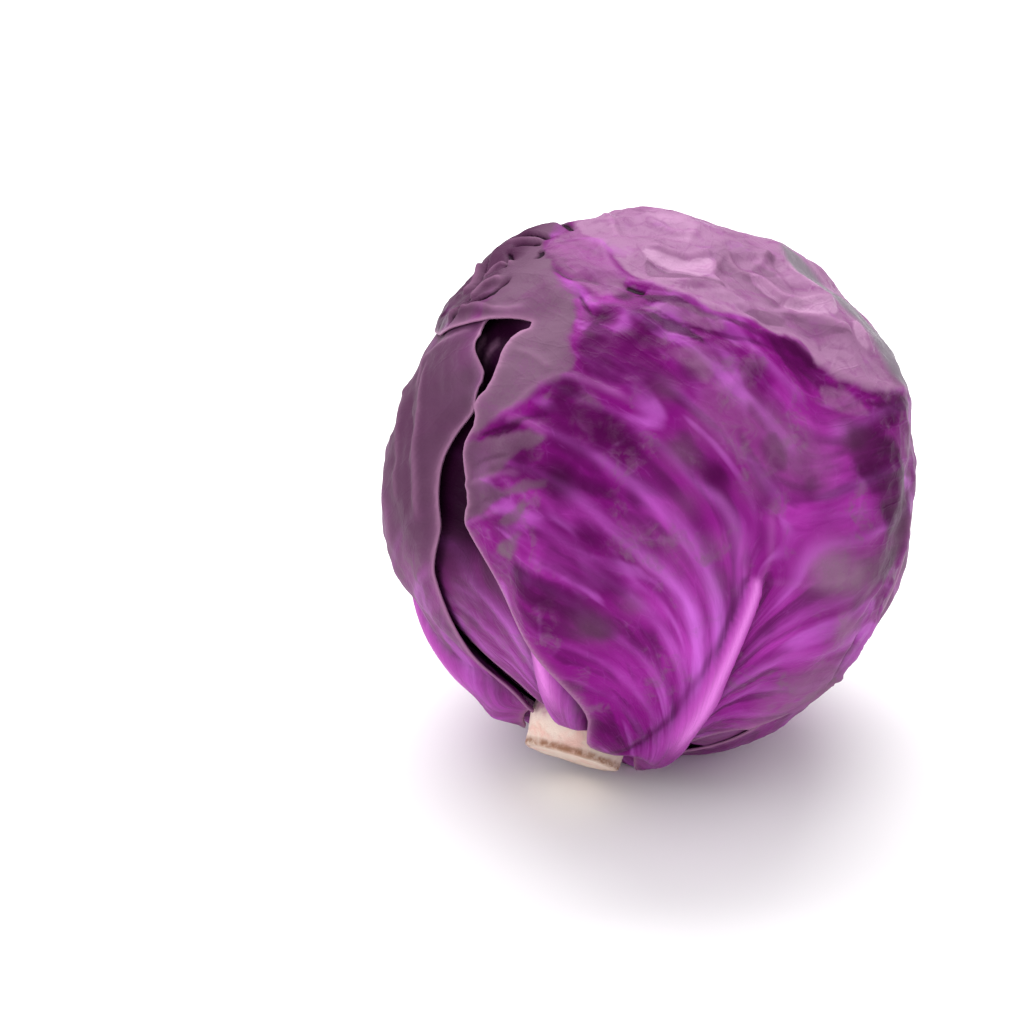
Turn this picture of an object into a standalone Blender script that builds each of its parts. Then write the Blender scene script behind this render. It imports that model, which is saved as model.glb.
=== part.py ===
"""A head of red cabbage, as cut from the field, lying at rest on its side.

The head leans back: its cut stem points down and to the front, and the flattened belly of one outer
leaf carries it. Each wrapper leaf is a thin shell of its own that lies over the leaves under it, with
a stout midrib and side veins standing out on its outer face. The tight inner leaves are one body.

Places on the head are given as a height, the angle up from the stem to the crown, and a turn, the
angle round the head from the side that faces the front. Both are in degrees, and sizes in metres.
"""

import math
from dataclasses import dataclass, field

import bmesh
import bpy
import numpy as np
from mathutils import Matrix, Vector
from mathutils.geometry import delaunay_2d_cdt

# How the head lies
FRONT_ELEVATION = 25.0  # turn 0 faces someone who looks down at the head at this angle
STEM_TO_LEFT = 15.0  # as that person sees it, the stem points down and this far to the left
STEM_TO_FRONT = 10.0  # and this far towards them
REST_DISTANCE = 0.0775  # from the middle of the head down to the table

# The tight inner head
HEART_RADIUS = 0.0745
HEART_CLEARANCE = 0.0009  # the inner head stays this far under the first leaf
HEART_SUBDIVISIONS = 4
STEM_SEAT = 0.0690  # the inner head ends in a flat here, where the stem comes out

# Broad swellings and dents of the inner head: height, turn, rise, width in degrees. It is drawn in at
# the crown, where the most leaves lie over each other.
SWELLINGS = (
    (163, -10, -0.0080, 52),
    (133, -77, 0.0034, 24),
    (118, -81, -0.0026, 12),
    (99, -86, -0.0012, 20),
    (70, -90, -0.0026, 30),
    (35, -95, -0.0028, 22),
    (128, 76, 0.0028, 24),
    (86, 86, 0.0027, 16),
    (42, 94, 0.0048, 24),
    (60, 130, 0.0010, 30),
    (75, -10, 0.0010, 24),
)
WAVE_HEIGHT = 0.0004
WAVE_COUNT = 7
WAVE_RATE = (5.0, 9.0)
WAVE_SEED = 11

# The hollow under the front leaf's left edge
HOLLOW_TURN = -51.0
HOLLOW_HEIGHTS = (57.0, 94.0)
HOLLOW_EASE = 12.0
HOLLOW_WIDTH = 11.5
HOLLOW_UNDER_LEFT_LEAF = (0.0, 0.0085)  # margin and depth of each layer's share of it
HOLLOW_UNDER_INNER_LEAF = (2.5, 0.0098)
HOLLOW_IN_HEART = (8.0, 0.0125)

# Leaf blades
LAYER_PITCH = 0.0028
SUPPORT_FADE = 0.014  # a leaf lying over another's edge comes down over this length
EDGE_THICKNESS = 0.0008
BLADE_THICKNESS = 0.0013
EDGE_TAPER = 0.009
FLARE_HEIGHT = 0.0007
FLARE_REACH = 0.006
RUFFLE_HEIGHT = 0.0007
RUFFLE_COUNT = 17
CURL_HEIGHT = 0.0042

# Midribs: half width and height above the blade, by height up the head
RIB_HEIGHTS = (10, 15, 20, 30, 41, 51, 60, 69, 80, 100, 130, 180)
RIB_HALF_WIDTHS = (0.0160, 0.0142, 0.0110, 0.0074, 0.0060, 0.0052, 0.0044, 0.0029, 0.0016, 0.0012, 0.001, 0.001)
RIB_RISES = (0.0036, 0.0052, 0.0062, 0.0060, 0.0052, 0.0043, 0.0031, 0.0018, 0.0009, 0.0006, 0.0004, 0.0)
RIB_SWEEP_DECAY = 13.0  # degrees of height in which a midrib's sweep round the stem dies away

# Side veins leave the midrib close along it and bend outwards
VEIN_CLIMB = 66.0
VEIN_BEND = 22.0
VEIN_POWER = 0.6
VEIN_RISE = 0.0009
VEIN_WIDTH = 0.0030
VEIN_FADE = 0.016

# The cut stem
STEM_RADIUS = 0.0150
STEM_FOOT_RADIUS = 0.0142
STEM_SIDES = 22
STEM_GAP = 0.0004
STEM_END = 0.0835  # from the middle of the head to the cut
STEM_CHAMFER = 0.0009

LEAF_PURPLE = (0.16, 0.010, 0.15)
LEAF_BLOOMED = (0.20, 0.055, 0.17)
INNER_PURPLE = (0.22, 0.030, 0.20)
STEM_CREAM = (0.80, 0.68, 0.60)


def along(height, turn):
    """Unit vectors from the middle of the head, in the head's own frame, with +Z towards the crown."""
    height, turn = np.radians(height), np.radians(turn)
    return np.stack(
        [np.sin(height) * np.cos(turn), np.sin(height) * np.sin(turn), -np.cos(height) + 0 * turn], axis=-1
    )


def places(ways):
    """The height and turn of each unit vector."""
    height = np.degrees(np.arccos(np.clip(-ways[..., 2], -1, 1)))
    return height, np.degrees(np.arctan2(ways[..., 1], ways[..., 0]))


def ease(value):
    """0 below 0, 1 above 1, and smooth between."""
    value = np.clip(value, 0, 1)
    return value * value * (3 - 2 * value)


def turn_between(turn, origin):
    """The turn from origin, from -180 to 180."""
    return (turn - origin + 180) % 360 - 180


def head_placement():
    """The matrix that carries the head's frame to its place on the table."""
    elevation, left, front = (math.radians(a) for a in (FRONT_ELEVATION, STEM_TO_LEFT, STEM_TO_FRONT))
    right = Vector((1, 0, 0))
    up = Vector((0, math.sin(elevation), math.cos(elevation)))
    viewer = Vector((0, -math.cos(elevation), math.sin(elevation)))
    stem = math.cos(front) * (-math.sin(left) * right - math.cos(left) * up) + math.sin(front) * viewer
    z_axis = -stem
    x_axis = (viewer - viewer.dot(z_axis) * z_axis).normalized()
    y_axis = z_axis.cross(x_axis)
    turned = Matrix((x_axis, y_axis, z_axis)).transposed().to_4x4()
    return Matrix.Translation((0, 0, REST_DISTANCE)) @ turned


PLACEMENT = head_placement()
DOWN = np.array(PLACEMENT.to_3x3().transposed() @ Vector((0, 0, -1)))


def under_plane(radius, ways, distance, blend=0.0008):
    """The radius brought in smoothly to a plane at this distance below the middle of the head."""
    facing = ways @ DOWN
    limit = np.where(facing > 0.5, distance / np.maximum(facing, 0.5), 1.0)
    share = np.clip(0.5 + 0.5 * (limit - radius) / blend, 0, 1)
    return limit + (radius - limit) * share - blend * share * (1 - share)


def hollow(ways, margin):
    """1 in the middle of the hollow at the front leaf's left edge, and 0 away from it. Margins widen it."""
    height, turn = places(ways)
    across = turn_between(turn, HOLLOW_TURN) * np.sin(np.radians(height)) / (HOLLOW_WIDTH + margin)
    low, high = HOLLOW_HEIGHTS[0] - margin, HOLLOW_HEIGHTS[1] + margin
    window = ease((height - low) / HOLLOW_EASE + 0.5) * ease((high - height) / HOLLOW_EASE + 0.5)
    return window * np.exp(-(across**2))


def head_form(ways):
    """The radius of the tight head under all wrapper leaves, without the hollow."""
    rng = np.random.default_rng(WAVE_SEED)
    radius = np.full(len(ways), HEART_RADIUS)
    for height, turn, rise, width in SWELLINGS:
        apart = np.degrees(np.arccos(np.clip(ways @ along(height, turn), -1, 1)))
        radius += rise * np.exp(-((apart / width) ** 2))
    for _ in range(WAVE_COUNT):
        heading = rng.normal(size=3)
        rate = rng.uniform(*WAVE_RATE)
        radius += WAVE_HEIGHT * np.cos(rate * (ways @ (heading / np.linalg.norm(heading))) + rng.uniform(0, 6.28))
    return under_plane(radius, ways, REST_DISTANCE - LAYER_PITCH - BLADE_THICKNESS + 0.0001)


@dataclass
class Leaf:
    """One wrapper leaf. Its outline's points are heights with turns from the midrib's line."""

    name: str
    midrib: float
    middle: float
    outline: list
    left_veins: tuple
    right_veins: tuple
    spacing: float
    sweep: float = 30.0
    hollow: tuple = (0.0, 0.0)
    curl: tuple = ()
    colour: tuple = LEAF_PURPLE
    edge: np.ndarray = field(default=None, repr=False)

    def basis(self):
        height, turn = math.radians(self.middle), math.radians(self.midrib)
        outward = along(self.middle, self.midrib)
        side = np.array([-math.sin(turn), math.cos(turn), 0])
        up = np.array([math.cos(height) * math.cos(turn), math.cos(height) * math.sin(turn), math.sin(height)])
        return outward, side, up

    def flat(self, ways):
        """The leaf laid flat round its middle: metres to the side and up, for each unit vector."""
        outward, side, up = self.basis()
        angle = np.arccos(np.clip(ways @ outward, -1, 1))
        over, to_crown = ways @ side, ways @ up
        length = np.maximum(np.hypot(over, to_crown), 1e-9)
        scale = HEART_RADIUS * angle / length
        return np.stack([over * scale, to_crown * scale], axis=-1)

    def ways(self, flat):
        """Unit vectors for points of the flat leaf."""
        outward, side, up = self.basis()
        length = np.maximum(np.hypot(flat[:, 0], flat[:, 1]), 1e-9)
        angle = length / HEART_RADIUS
        heading = (flat[:, :1] * side + flat[:, 1:] * up) / length[:, None]
        return np.cos(angle)[:, None] * outward + np.sin(angle)[:, None] * heading

    def rib_turn(self, height):
        """The turn of the midrib's line: it sweeps round the stem and then runs straight up the head."""
        return self.midrib + self.sweep * np.exp(-(height - 12) / RIB_SWEEP_DECAY)


def smooth_loop(points, steps=12):
    """A closed curve through the points."""
    before, after = np.roll(points, 1, 0), np.roll(points, -1, 0)
    tangent = (after - before) / 2
    t = (np.arange(steps) / steps)[:, None, None]
    curve = (
        (2 * t**3 - 3 * t**2 + 1) * points
        + (t**3 - 2 * t**2 + t) * tangent
        + (3 * t**2 - 2 * t**3) * after
        + (t**3 - t**2) * np.roll(tangent, -1, 0)
    )
    return curve.transpose(1, 0, 2).reshape(-1, 2)


def spaced(curve, spacing, closed):
    """The curve's points at even steps of about the spacing."""
    if closed:
        curve = np.vstack([curve, curve[:1]])
    run = np.concatenate([[0], np.cumsum(np.linalg.norm(np.diff(curve, axis=0), axis=1))])
    count = max(2, round(run[-1] / spacing))
    at = np.linspace(0, run[-1], count + 1)
    points = np.stack([np.interp(at, run, curve[:, k]) for k in (0, 1)], axis=-1)
    return points[:-1] if closed else points


def edge_distance(points, loop):
    """How far inside the closed loop each point lies, negative outside."""
    start, end = loop, np.roll(loop, -1, 0)
    run = end - start
    offset = points[:, None, :] - start[None]
    share = np.clip((offset * run).sum(-1) / np.maximum((run**2).sum(-1), 1e-12), 0, 1)
    nearest = np.sqrt(((offset - share[..., None] * run) ** 2).sum(-1)).min(1)
    crosses = (start[:, 1] > points[:, 1:]) != (end[:, 1] > points[:, 1:])
    rise = np.where(np.abs(run[:, 1]) < 1e-12, 1e-12, run[:, 1])
    crossing = start[:, 0] + (points[:, 1:] - start[:, 1]) * run[:, 0] / rise
    inside = (crosses & (points[:, :1] < crossing)).sum(1) % 2 == 1
    return np.where(inside, nearest, -nearest)


def coverage(leaf, ways):
    """1 where the leaf lies, fading to 0 outside its edge."""
    return ease(1 + (edge_distance(leaf.flat(ways), leaf.edge) + 0.001) / SUPPORT_FADE)


def rib_rise(leaf, ways, spread=0.0):
    """The midrib's height above the blade. A spread widens it, for a leaf that lies over it."""
    height, turn = places(ways)
    across = np.radians(turn_between(turn, leaf.rib_turn(height))) * np.sin(np.radians(height)) * HEART_RADIUS
    slope = leaf.sweep * np.exp(-(height - 12) / RIB_SWEEP_DECAY) / RIB_SWEEP_DECAY * np.sin(np.radians(height))
    width = np.interp(height, RIB_HEIGHTS, RIB_HALF_WIDTHS) + spread
    rise = np.interp(height, RIB_HEIGHTS, RIB_RISES)
    return rise * np.exp(-((across / np.hypot(1, slope) / width) ** 2) * 1.6)


def vein_rise(leaf, ways):
    """The side veins' height above the blade. They are level lines of the height at which they leave the midrib."""
    height, turn = places(ways)
    off = turn_between(turn, leaf.rib_turn(height))
    reach = np.maximum(np.abs(off) / VEIN_BEND, 0.02)
    fall = np.exp(-(reach**VEIN_POWER))
    level = height - VEIN_CLIMB * (1 - fall)
    slope = VEIN_CLIMB * fall * VEIN_POWER * reach ** (VEIN_POWER - 1) / VEIN_BEND
    slope = slope / np.maximum(np.sin(np.radians(height)), 0.2)
    gaps = [np.abs(level[:, None] - np.array(starts)).min(1) for starts in (leaf.left_veins, leaf.right_veins)]
    metres = np.radians(np.where(off < 0, *gaps)) / np.hypot(1, slope) * HEART_RADIUS
    return VEIN_RISE * np.exp(-((metres / VEIN_WIDTH) ** 2)) * ease((np.abs(off) - 3) / 6)


def floor_of(leaf, under, ways):
    """The radius of the leaf's inner face: the head's form and the leaves under it."""
    margin, depth = leaf.hollow
    radius = head_form(ways) - depth * hollow(ways, margin)
    for other in under:
        share = coverage(other, ways)
        radius += share * (LAYER_PITCH + rib_rise(other, ways, spread=0.006))
    return radius


def leaf_faces(leaf, under, over, flat):
    """The inner and outer face's points above each point of the flat leaf."""
    ways = leaf.ways(flat)
    inside = np.maximum(edge_distance(flat, leaf.edge), 0)
    bare = np.ones(len(ways))
    for other in over:
        bare *= 1 - coverage(other, ways)
    bearing = np.arctan2(flat[:, 0], flat[:, 1])
    ruffle = FLARE_HEIGHT + RUFFLE_HEIGHT * np.sin(RUFFLE_COUNT * bearing + leaf.midrib)
    lift = bare * ruffle * np.exp(-inside / FLARE_REACH)
    height, turn = places(ways)
    for curl_height, curl_turn, reach in leaf.curl:
        near = ((height - curl_height) / reach) ** 2 + (turn_between(turn, curl_turn) / reach) ** 2
        lift = np.maximum(lift, CURL_HEIGHT * np.exp(-near) * np.exp(-inside / FLARE_REACH))
    from_stem = ease((height - 14) / 10)
    inner = floor_of(leaf, under, ways) + lift * from_stem
    blade = EDGE_THICKNESS + (BLADE_THICKNESS - EDGE_THICKNESS) * ease(inside / EDGE_TAPER)
    veins = vein_rise(leaf, ways) * ease(inside / VEIN_FADE)
    outer = inner + blade + veins + rib_rise(leaf, ways) * ease(inside / 0.004 + 0.75)
    outer = np.minimum(outer, np.where(ways @ DOWN > 0.5, REST_DISTANCE / np.maximum(ways @ DOWN, 0.5), 1))
    return ways * inner[:, None], ways * outer[:, None]


def vein_lines(leaf):
    """Lines on the flat leaf that the mesh follows: the midrib's crest and foot, and each side vein's."""
    lines = []
    for offset in (-1, 0, 1):
        height = np.linspace(17, 78, 30)
        width = np.interp(height, RIB_HEIGHTS, RIB_HALF_WIDTHS) / HEART_RADIUS
        turn = leaf.rib_turn(height) + np.degrees(offset * width / np.sin(np.radians(height)))
        lines.append(leaf.flat(along(height, turn)))
    for side, starts in ((-1, leaf.left_veins), (1, leaf.right_veins)):
        for start in starts:
            for offset in (-1, 0, 1):
                off = np.linspace(9, 85, 60)
                height = start + VEIN_CLIMB * (1 - np.exp(-((off / VEIN_BEND) ** VEIN_POWER)))
                height = height + offset * np.degrees(1.25 * VEIN_WIDTH / HEART_RADIUS)
                turn = leaf.rib_turn(height) + side * off
                lines.append(leaf.flat(along(height, turn)))
    return lines


def flat_mesh(leaf):
    """Points and triangles that fill the flat leaf and follow its veins."""
    rim = spaced(leaf.edge, leaf.spacing * 0.8, closed=True)
    points, edges = [rim], [(i, (i + 1) % len(rim)) for i in range(len(rim))]
    count = len(rim)
    taken = rim
    for line in vein_lines(leaf):
        line = spaced(line, leaf.spacing * 1.1, closed=False)
        depth = edge_distance(line, rim)
        gap = np.sqrt(((line[:, None] - taken[None]) ** 2).sum(-1)).min(1)
        line = line[(depth > leaf.spacing * 0.4) & (gap > leaf.spacing * 0.42)]
        if len(line) < 2:
            continue
        steps = np.linalg.norm(np.diff(line, axis=0), axis=1)
        edges += [(count + i, count + i + 1) for i in range(len(line) - 1) if steps[i] < leaf.spacing * 1.6]
        points.append(line)
        count += len(line)
        taken = np.vstack([taken, line])
    low, high = rim.min(0), rim.max(0)
    rows = np.arange(low[1], high[1], leaf.spacing * math.sqrt(0.75))
    columns = np.arange(low[0], high[0], leaf.spacing)
    fill = np.array([(x + (row % 2) * leaf.spacing / 2, y) for row, y in enumerate(rows) for x in columns])
    gap = np.sqrt(((fill[:, None] - taken[None]) ** 2).sum(-1)).min(1)
    fill = fill[(edge_distance(fill, rim) > leaf.spacing * 0.5) & (gap > leaf.spacing * 0.62)]
    points.append(fill)
    made = delaunay_2d_cdt([Vector(p) for p in np.vstack(points)], edges, [], 1, 1e-7)
    return np.array([tuple(p) for p in made[0]]), [tuple(f) for f in made[2]]


def solid_between(name, inner, outer, triangles):
    """A closed shell whose two faces are split into the same triangles."""
    count = len(outer)
    faces = [tuple(t) for t in triangles] + [tuple(count + i for i in reversed(t)) for t in triangles]
    ends = [(t[k], t[(k + 1) % 3]) for t in triangles for k in range(3)]
    known = set(ends)
    for a, b in ends:
        if (b, a) not in known:
            faces += [(b, a, count + a), (b, count + a, count + b)]
    mesh = bpy.data.meshes.new(name)
    mesh.from_pydata([tuple(p) for p in np.vstack([outer, inner])], [], faces)
    mesh.validate()
    return mesh


def material(name, colour, roughness):
    made = bpy.data.materials.new(name)
    made.use_nodes = True
    surface = made.node_tree.nodes["Principled BSDF"]
    surface.inputs["Base Color"].default_value = (*colour, 1)
    surface.inputs["Roughness"].default_value = roughness
    return made


def place(name, mesh, parent, finish):
    mesh.materials.append(finish)
    mesh.shade_smooth()
    made = bpy.data.objects.new(name, mesh)
    bpy.context.scene.collection.objects.link(made)
    made.parent = parent
    return made


def leaf_outline(left, right, tip):
    """An outline from half widths in degrees of turn at set heights, up one side, over the tip and down the other."""
    heights = (15, 22, 32, 45, 60, 76, 92, 108, 124, 139, 152)
    shape = (38, 40, 48, 60, 70, 75, 77, 78, 82, 90, 108)
    up = [(h, -w * left) for h, w in zip(heights, shape)]
    down = [(h, w * right) for h, w in reversed(list(zip(heights, shape)))]
    return [(12.5, 0), (12.7, -30), *up, *tip, *down, (12.7, 30)]


FRONT_OUTLINE = [
    *((12.5, 0), (12.7, -34), (13, -58), (15.5, -64), (19.5, -57), (25, -50), (33, -52), (42, -59)),
    *((50, -66), (58, -72.5), (64, -76), (70, -74.5), (77.5, -75.5), (81.5, -75), (85, -73), (89, -73.5)),
    *((92.5, -71), (97, -70.5), (101, -71), (105, -70.5), (109, -68.5), (109.2, -72), (107.6, -78)),
    *((106.4, -85), (105.9, -92), (106, -100), (107.5, -110), (112, -121), (122, -130), (136, -135)),
    *((149, -142), (160, -165)),
    *((164, 165), (160, 125), (151, 92), (139, 70), (125, 57), (110, 50), (95, 47), (80, 46)),
    *((66, 46), (56, 45), (47, 39), (38, 31), (28, 24), (20, 26), (15, 34), (12.7, 30)),
]
LEFT_OUTLINE = [
    *((12.5, 0), (12.7, -30), (15, -37), (22, -39), (32, -47), (45, -59), (60, -69), (76, -73.5)),
    *((92, -75.5), (108, -76.5), (124, -80), (139, -88), (152, -106), (158, -138), (160, 180)),
    *((157, 138), (152, 99), (139, 83), (124, 75), (114, 67), (107, 62), (103, 64.5), (99, 66)),
    *((95, 69), (92.5, 67.5), (88, 61), (79, 54), (70, 51.5), (60, 50.5), (46, 48), (32, 42), (22, 36)),
    *((15, 34), (12.7, 30)),
]

LEAVES = [
    Leaf(
        "inner_leaf_back", -160, 88, leaf_outline(1.0, 0.98, [(163, -150), (166, 165), (160, 132)]),
        (6, 30, 56), (12, 37, 64), spacing=0.0105, sweep=24, colour=INNER_PURPLE,
    ),
    Leaf(
        "inner_leaf_front", -22, 92, leaf_outline(0.96, 1.0, [(157, -140), (160, -178), (157, 140)]),
        (6, 30, 56), (12, 37, 64), spacing=0.0095, sweep=24, hollow=HOLLOW_UNDER_INNER_LEAF,
        colour=INNER_PURPLE,
    ),
    Leaf(
        "wrapper_leaf_right", 128, 86, leaf_outline(1.0, 1.04, [(160, -140), (163, 178), (159, 140)]),
        (-5, 19, 43, 67), (1, 25, 49, 74), spacing=0.0078, sweep=22,
    ),
    Leaf(
        "wrapper_leaf_left", -112, 86, LEFT_OUTLINE,
        (-5, 19, 43, 67), (1, 25, 49, 74), spacing=0.0078, sweep=26, hollow=HOLLOW_UNDER_LEFT_LEAF,
        curl=((92, -44, 13),), colour=LEAF_BLOOMED,
    ),
    Leaf(
        "front_leaf", 31, 88, FRONT_OUTLINE,
        (-8, 2, 11, 20.5, 30.5, 41, 55, 70), (8, 20, 34, 48, 64), spacing=0.0068, sweep=55,
    ),
]


def make_heart(parent, finish):
    """The tight inner leaves as one body, with a flat where the stem comes out."""
    mesh = bpy.data.meshes.new("heart")
    ball = bmesh.new()
    bmesh.ops.create_icosphere(ball, subdivisions=HEART_SUBDIVISIONS, radius=1.0)
    ball.to_mesh(mesh)
    ball.free()
    ways = np.array([v.co[:] for v in mesh.vertices])
    ways /= np.linalg.norm(ways, axis=1)[:, None]
    margin, depth = HOLLOW_IN_HEART
    radius = head_form(ways) - HEART_CLEARANCE - depth * hollow(ways, margin)
    towards_stem = -ways[:, 2]
    seat = np.where(towards_stem > 0.5, STEM_SEAT / np.maximum(towards_stem, 0.5), 1)
    points = ways * np.minimum(radius, seat)[:, None]
    mesh.vertices.foreach_set("co", points.astype(np.float32).ravel())
    return place("heart", mesh, parent, finish)


def make_stem(parent, finish):
    """The cut stump, a little wider where the leaves come off it."""
    rings = (
        (STEM_SEAT + STEM_GAP, STEM_RADIUS * 0.96),
        (STEM_SEAT + 0.005, STEM_RADIUS),
        (STEM_END - 0.004, STEM_FOOT_RADIUS),
        (STEM_END - STEM_CHAMFER, STEM_FOOT_RADIUS),
        (STEM_END, STEM_FOOT_RADIUS - STEM_CHAMFER),
    )
    points, faces = [], []
    for depth, radius in rings:
        for side in range(STEM_SIDES):
            angle = 2 * math.pi * side / STEM_SIDES
            wobble = 1 + 0.02 * math.sin(5 * angle + 0.7) + 0.015 * math.sin(3 * angle)
            points.append((radius * wobble * math.cos(angle), radius * wobble * math.sin(angle), -depth))
    for ring in range(len(rings) - 1):
        for side in range(STEM_SIDES):
            a, b = ring * STEM_SIDES + side, ring * STEM_SIDES + (side + 1) % STEM_SIDES
            faces.append((a, a + STEM_SIDES, b + STEM_SIDES, b))
    faces.append(tuple(range(STEM_SIDES)))
    last = (len(rings) - 1) * STEM_SIDES
    faces.append(tuple(reversed(range(last, last + STEM_SIDES))))
    mesh = bpy.data.meshes.new("stem")
    mesh.from_pydata(points, [], faces)
    return place("stem", mesh, parent, finish)


def main():
    for old in list(bpy.data.objects):
        bpy.data.objects.remove(old)
    head = bpy.data.objects.new("head", None)
    bpy.context.scene.collection.objects.link(head)
    head.matrix_world = PLACEMENT
    for leaf in LEAVES:
        points = np.array(leaf.outline, float)
        flat = leaf.flat(along(points[:, 0], points[:, 1] + leaf.rib_turn(points[:, 0])))
        leaf.edge = spaced(smooth_loop(flat), 0.0035, closed=True)
    for number, leaf in enumerate(LEAVES):
        flat, triangles = flat_mesh(leaf)
        inner, outer = leaf_faces(leaf, LEAVES[:number], LEAVES[number + 1 :], flat)
        mesh = solid_between(leaf.name, inner, outer, triangles)
        place(leaf.name, mesh, head, material(leaf.name, leaf.colour, 0.45))
        print(leaf.name, len(mesh.polygons))
    make_heart(head, material("heart", INNER_PURPLE, 0.5))
    make_stem(head, material("stem", STEM_CREAM, 0.6))


main()
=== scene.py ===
"""A head of red cabbage lying on its side: veined wrapper leaves over a tight heart, and a cut stem.

Places on the head are given as a height, the angle up from the stem to the crown, and a turn, the
angle round the head from the side that faces the front. Both are in degrees, and sizes in metres.
"""

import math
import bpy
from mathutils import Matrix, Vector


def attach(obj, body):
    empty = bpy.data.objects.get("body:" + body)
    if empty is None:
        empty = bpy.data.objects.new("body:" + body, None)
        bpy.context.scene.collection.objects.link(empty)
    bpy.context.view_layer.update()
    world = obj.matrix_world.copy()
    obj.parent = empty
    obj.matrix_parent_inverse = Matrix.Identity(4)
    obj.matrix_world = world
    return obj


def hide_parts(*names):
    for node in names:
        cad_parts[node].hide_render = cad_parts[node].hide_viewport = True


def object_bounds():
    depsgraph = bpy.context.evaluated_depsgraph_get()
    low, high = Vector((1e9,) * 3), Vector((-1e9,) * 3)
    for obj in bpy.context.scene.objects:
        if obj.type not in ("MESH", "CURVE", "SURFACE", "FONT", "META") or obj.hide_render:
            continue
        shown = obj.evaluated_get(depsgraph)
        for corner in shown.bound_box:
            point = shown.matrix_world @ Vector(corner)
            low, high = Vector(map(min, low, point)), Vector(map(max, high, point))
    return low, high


bl_info = {
    "name": "Red Cabbage Head",
    "version": (1, 0, 0),
    "blender": (4, 5, 0),
    "location": "3D View > Sidebar > Cabbage",
    "description": "Builds a red cabbage head leaf by leaf over its packed solids, and a plain studio for it",
    "category": "Add Mesh",
}

from dataclasses import dataclass, field

import bmesh
import bpy
import numpy as np
from bpy.props import FloatProperty, FloatVectorProperty, PointerProperty
from mathutils import Matrix, Vector, noise
from mathutils.geometry import delaunay_2d_cdt
from mathutils.kdtree import KDTree

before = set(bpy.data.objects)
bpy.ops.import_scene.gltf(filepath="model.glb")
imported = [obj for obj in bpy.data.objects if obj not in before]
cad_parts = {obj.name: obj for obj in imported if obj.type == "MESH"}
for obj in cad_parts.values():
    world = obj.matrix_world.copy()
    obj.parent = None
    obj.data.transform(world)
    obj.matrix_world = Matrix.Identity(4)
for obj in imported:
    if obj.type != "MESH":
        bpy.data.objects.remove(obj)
CAD_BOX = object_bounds()

# How the head lies
FRONT_ELEVATION = 25.0
STEM_TO_LEFT = 15.0
STEM_TO_FRONT = 10.0
REST_DISTANCE = 0.0775

# How softly points are pressed into the box of the solids, and how close to it that starts
BOX_EASE = 0.0004
BOX_MARGIN = 0.004

# The tight inner head
HEART_RADIUS = 0.0745
HEART_CLEARANCE = 0.0009
STEM_SEAT = 0.0690
# Swellings and dips of the tight head: height, turn, rise, and width in degrees
SWELLINGS = (
    (163, -10, -0.0080, 52),
    (133, -77, 0.0034, 24),
    (118, -81, -0.0026, 12),
    (99, -86, -0.0012, 20),
    (70, -90, -0.0026, 30),
    (35, -95, -0.0028, 22),
    (128, 76, 0.0028, 24),
    (86, 86, 0.0027, 16),
    (42, 94, 0.0048, 24),
    (60, 130, 0.0010, 30),
    (75, -10, 0.0010, 24),
)
# Broad random waves over it
WAVE_HEIGHT = 0.0004
WAVE_COUNT = 7
WAVE_RATE = (5.0, 9.0)
WAVE_SEED = 11

# The hollow under the front leaf's left edge, and its margin in degrees and depth in each layer
HOLLOW_TURN = -51.0
HOLLOW_HEIGHTS = (57.0, 94.0)
HOLLOW_EASE = 12.0
HOLLOW_WIDTH = 11.5
HOLLOW_UNDER_LEFT_LEAF = (0.0, 0.0085)
HOLLOW_UNDER_INNER_LEAF = (2.5, 0.0098)
HOLLOW_IN_HEART = (8.0, 0.0125)

# Facets of the crumpled crown are wider round the head than up it. Two kinds: size in metres, and lean
FACET_STRETCH = 1.9
FACET_BLEND = 0.00006
BROAD_FACETS = (0.0150, 0.085)
SMALL_FACETS = (0.0066, 0.070)
# Above this height the crown is fully crumpled
CRUMPLE_HEIGHT = 106.0
CRUMPLE_FADE = 14.0
DEEPEST_CRUMPLE = 0.0014

# Drawn ridges and creases: the width of the painted highlight on a ridge and of the painted shade in a crease, and
# the rise that shows fully
STROKE_LINE = 0.00115
STROKE_FULL_RISE = 0.0018
STROKE_TAPER = 0.16
CREASE_SHADE_STRENGTH = 2.3

# Leaf blades
LAYER_PITCH = 0.0028
SUPPORT_FADE = 0.014
EDGE_THICKNESS = 0.0007
BLADE_THICKNESS = 0.0012
EDGE_TAPER = 0.009
FLARE_HEIGHT = 0.0007
FLARE_REACH = 0.006
PRESS_DEPTH = 0.0011
PRESS_REACH = 0.007
RUFFLE_HEIGHT = 0.0007
RUFFLE_COUNT = 17

# Midribs
RIB_HEIGHTS = (10, 15, 20, 30, 41, 51, 60, 69, 80, 100, 130, 180)
RIB_HALF_WIDTHS = (0.0160, 0.0142, 0.0110, 0.0074, 0.0060, 0.0052, 0.0044, 0.0029, 0.0016, 0.0012, 0.001, 0.001)
RIB_RISES = (0.0036, 0.0052, 0.0062, 0.0060, 0.0052, 0.0043, 0.0031, 0.0018, 0.0009, 0.0006, 0.0004, 0.0)
RIB_SWEEP_DECAY = 13.0
RIB_SKIRT = 0.20

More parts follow.
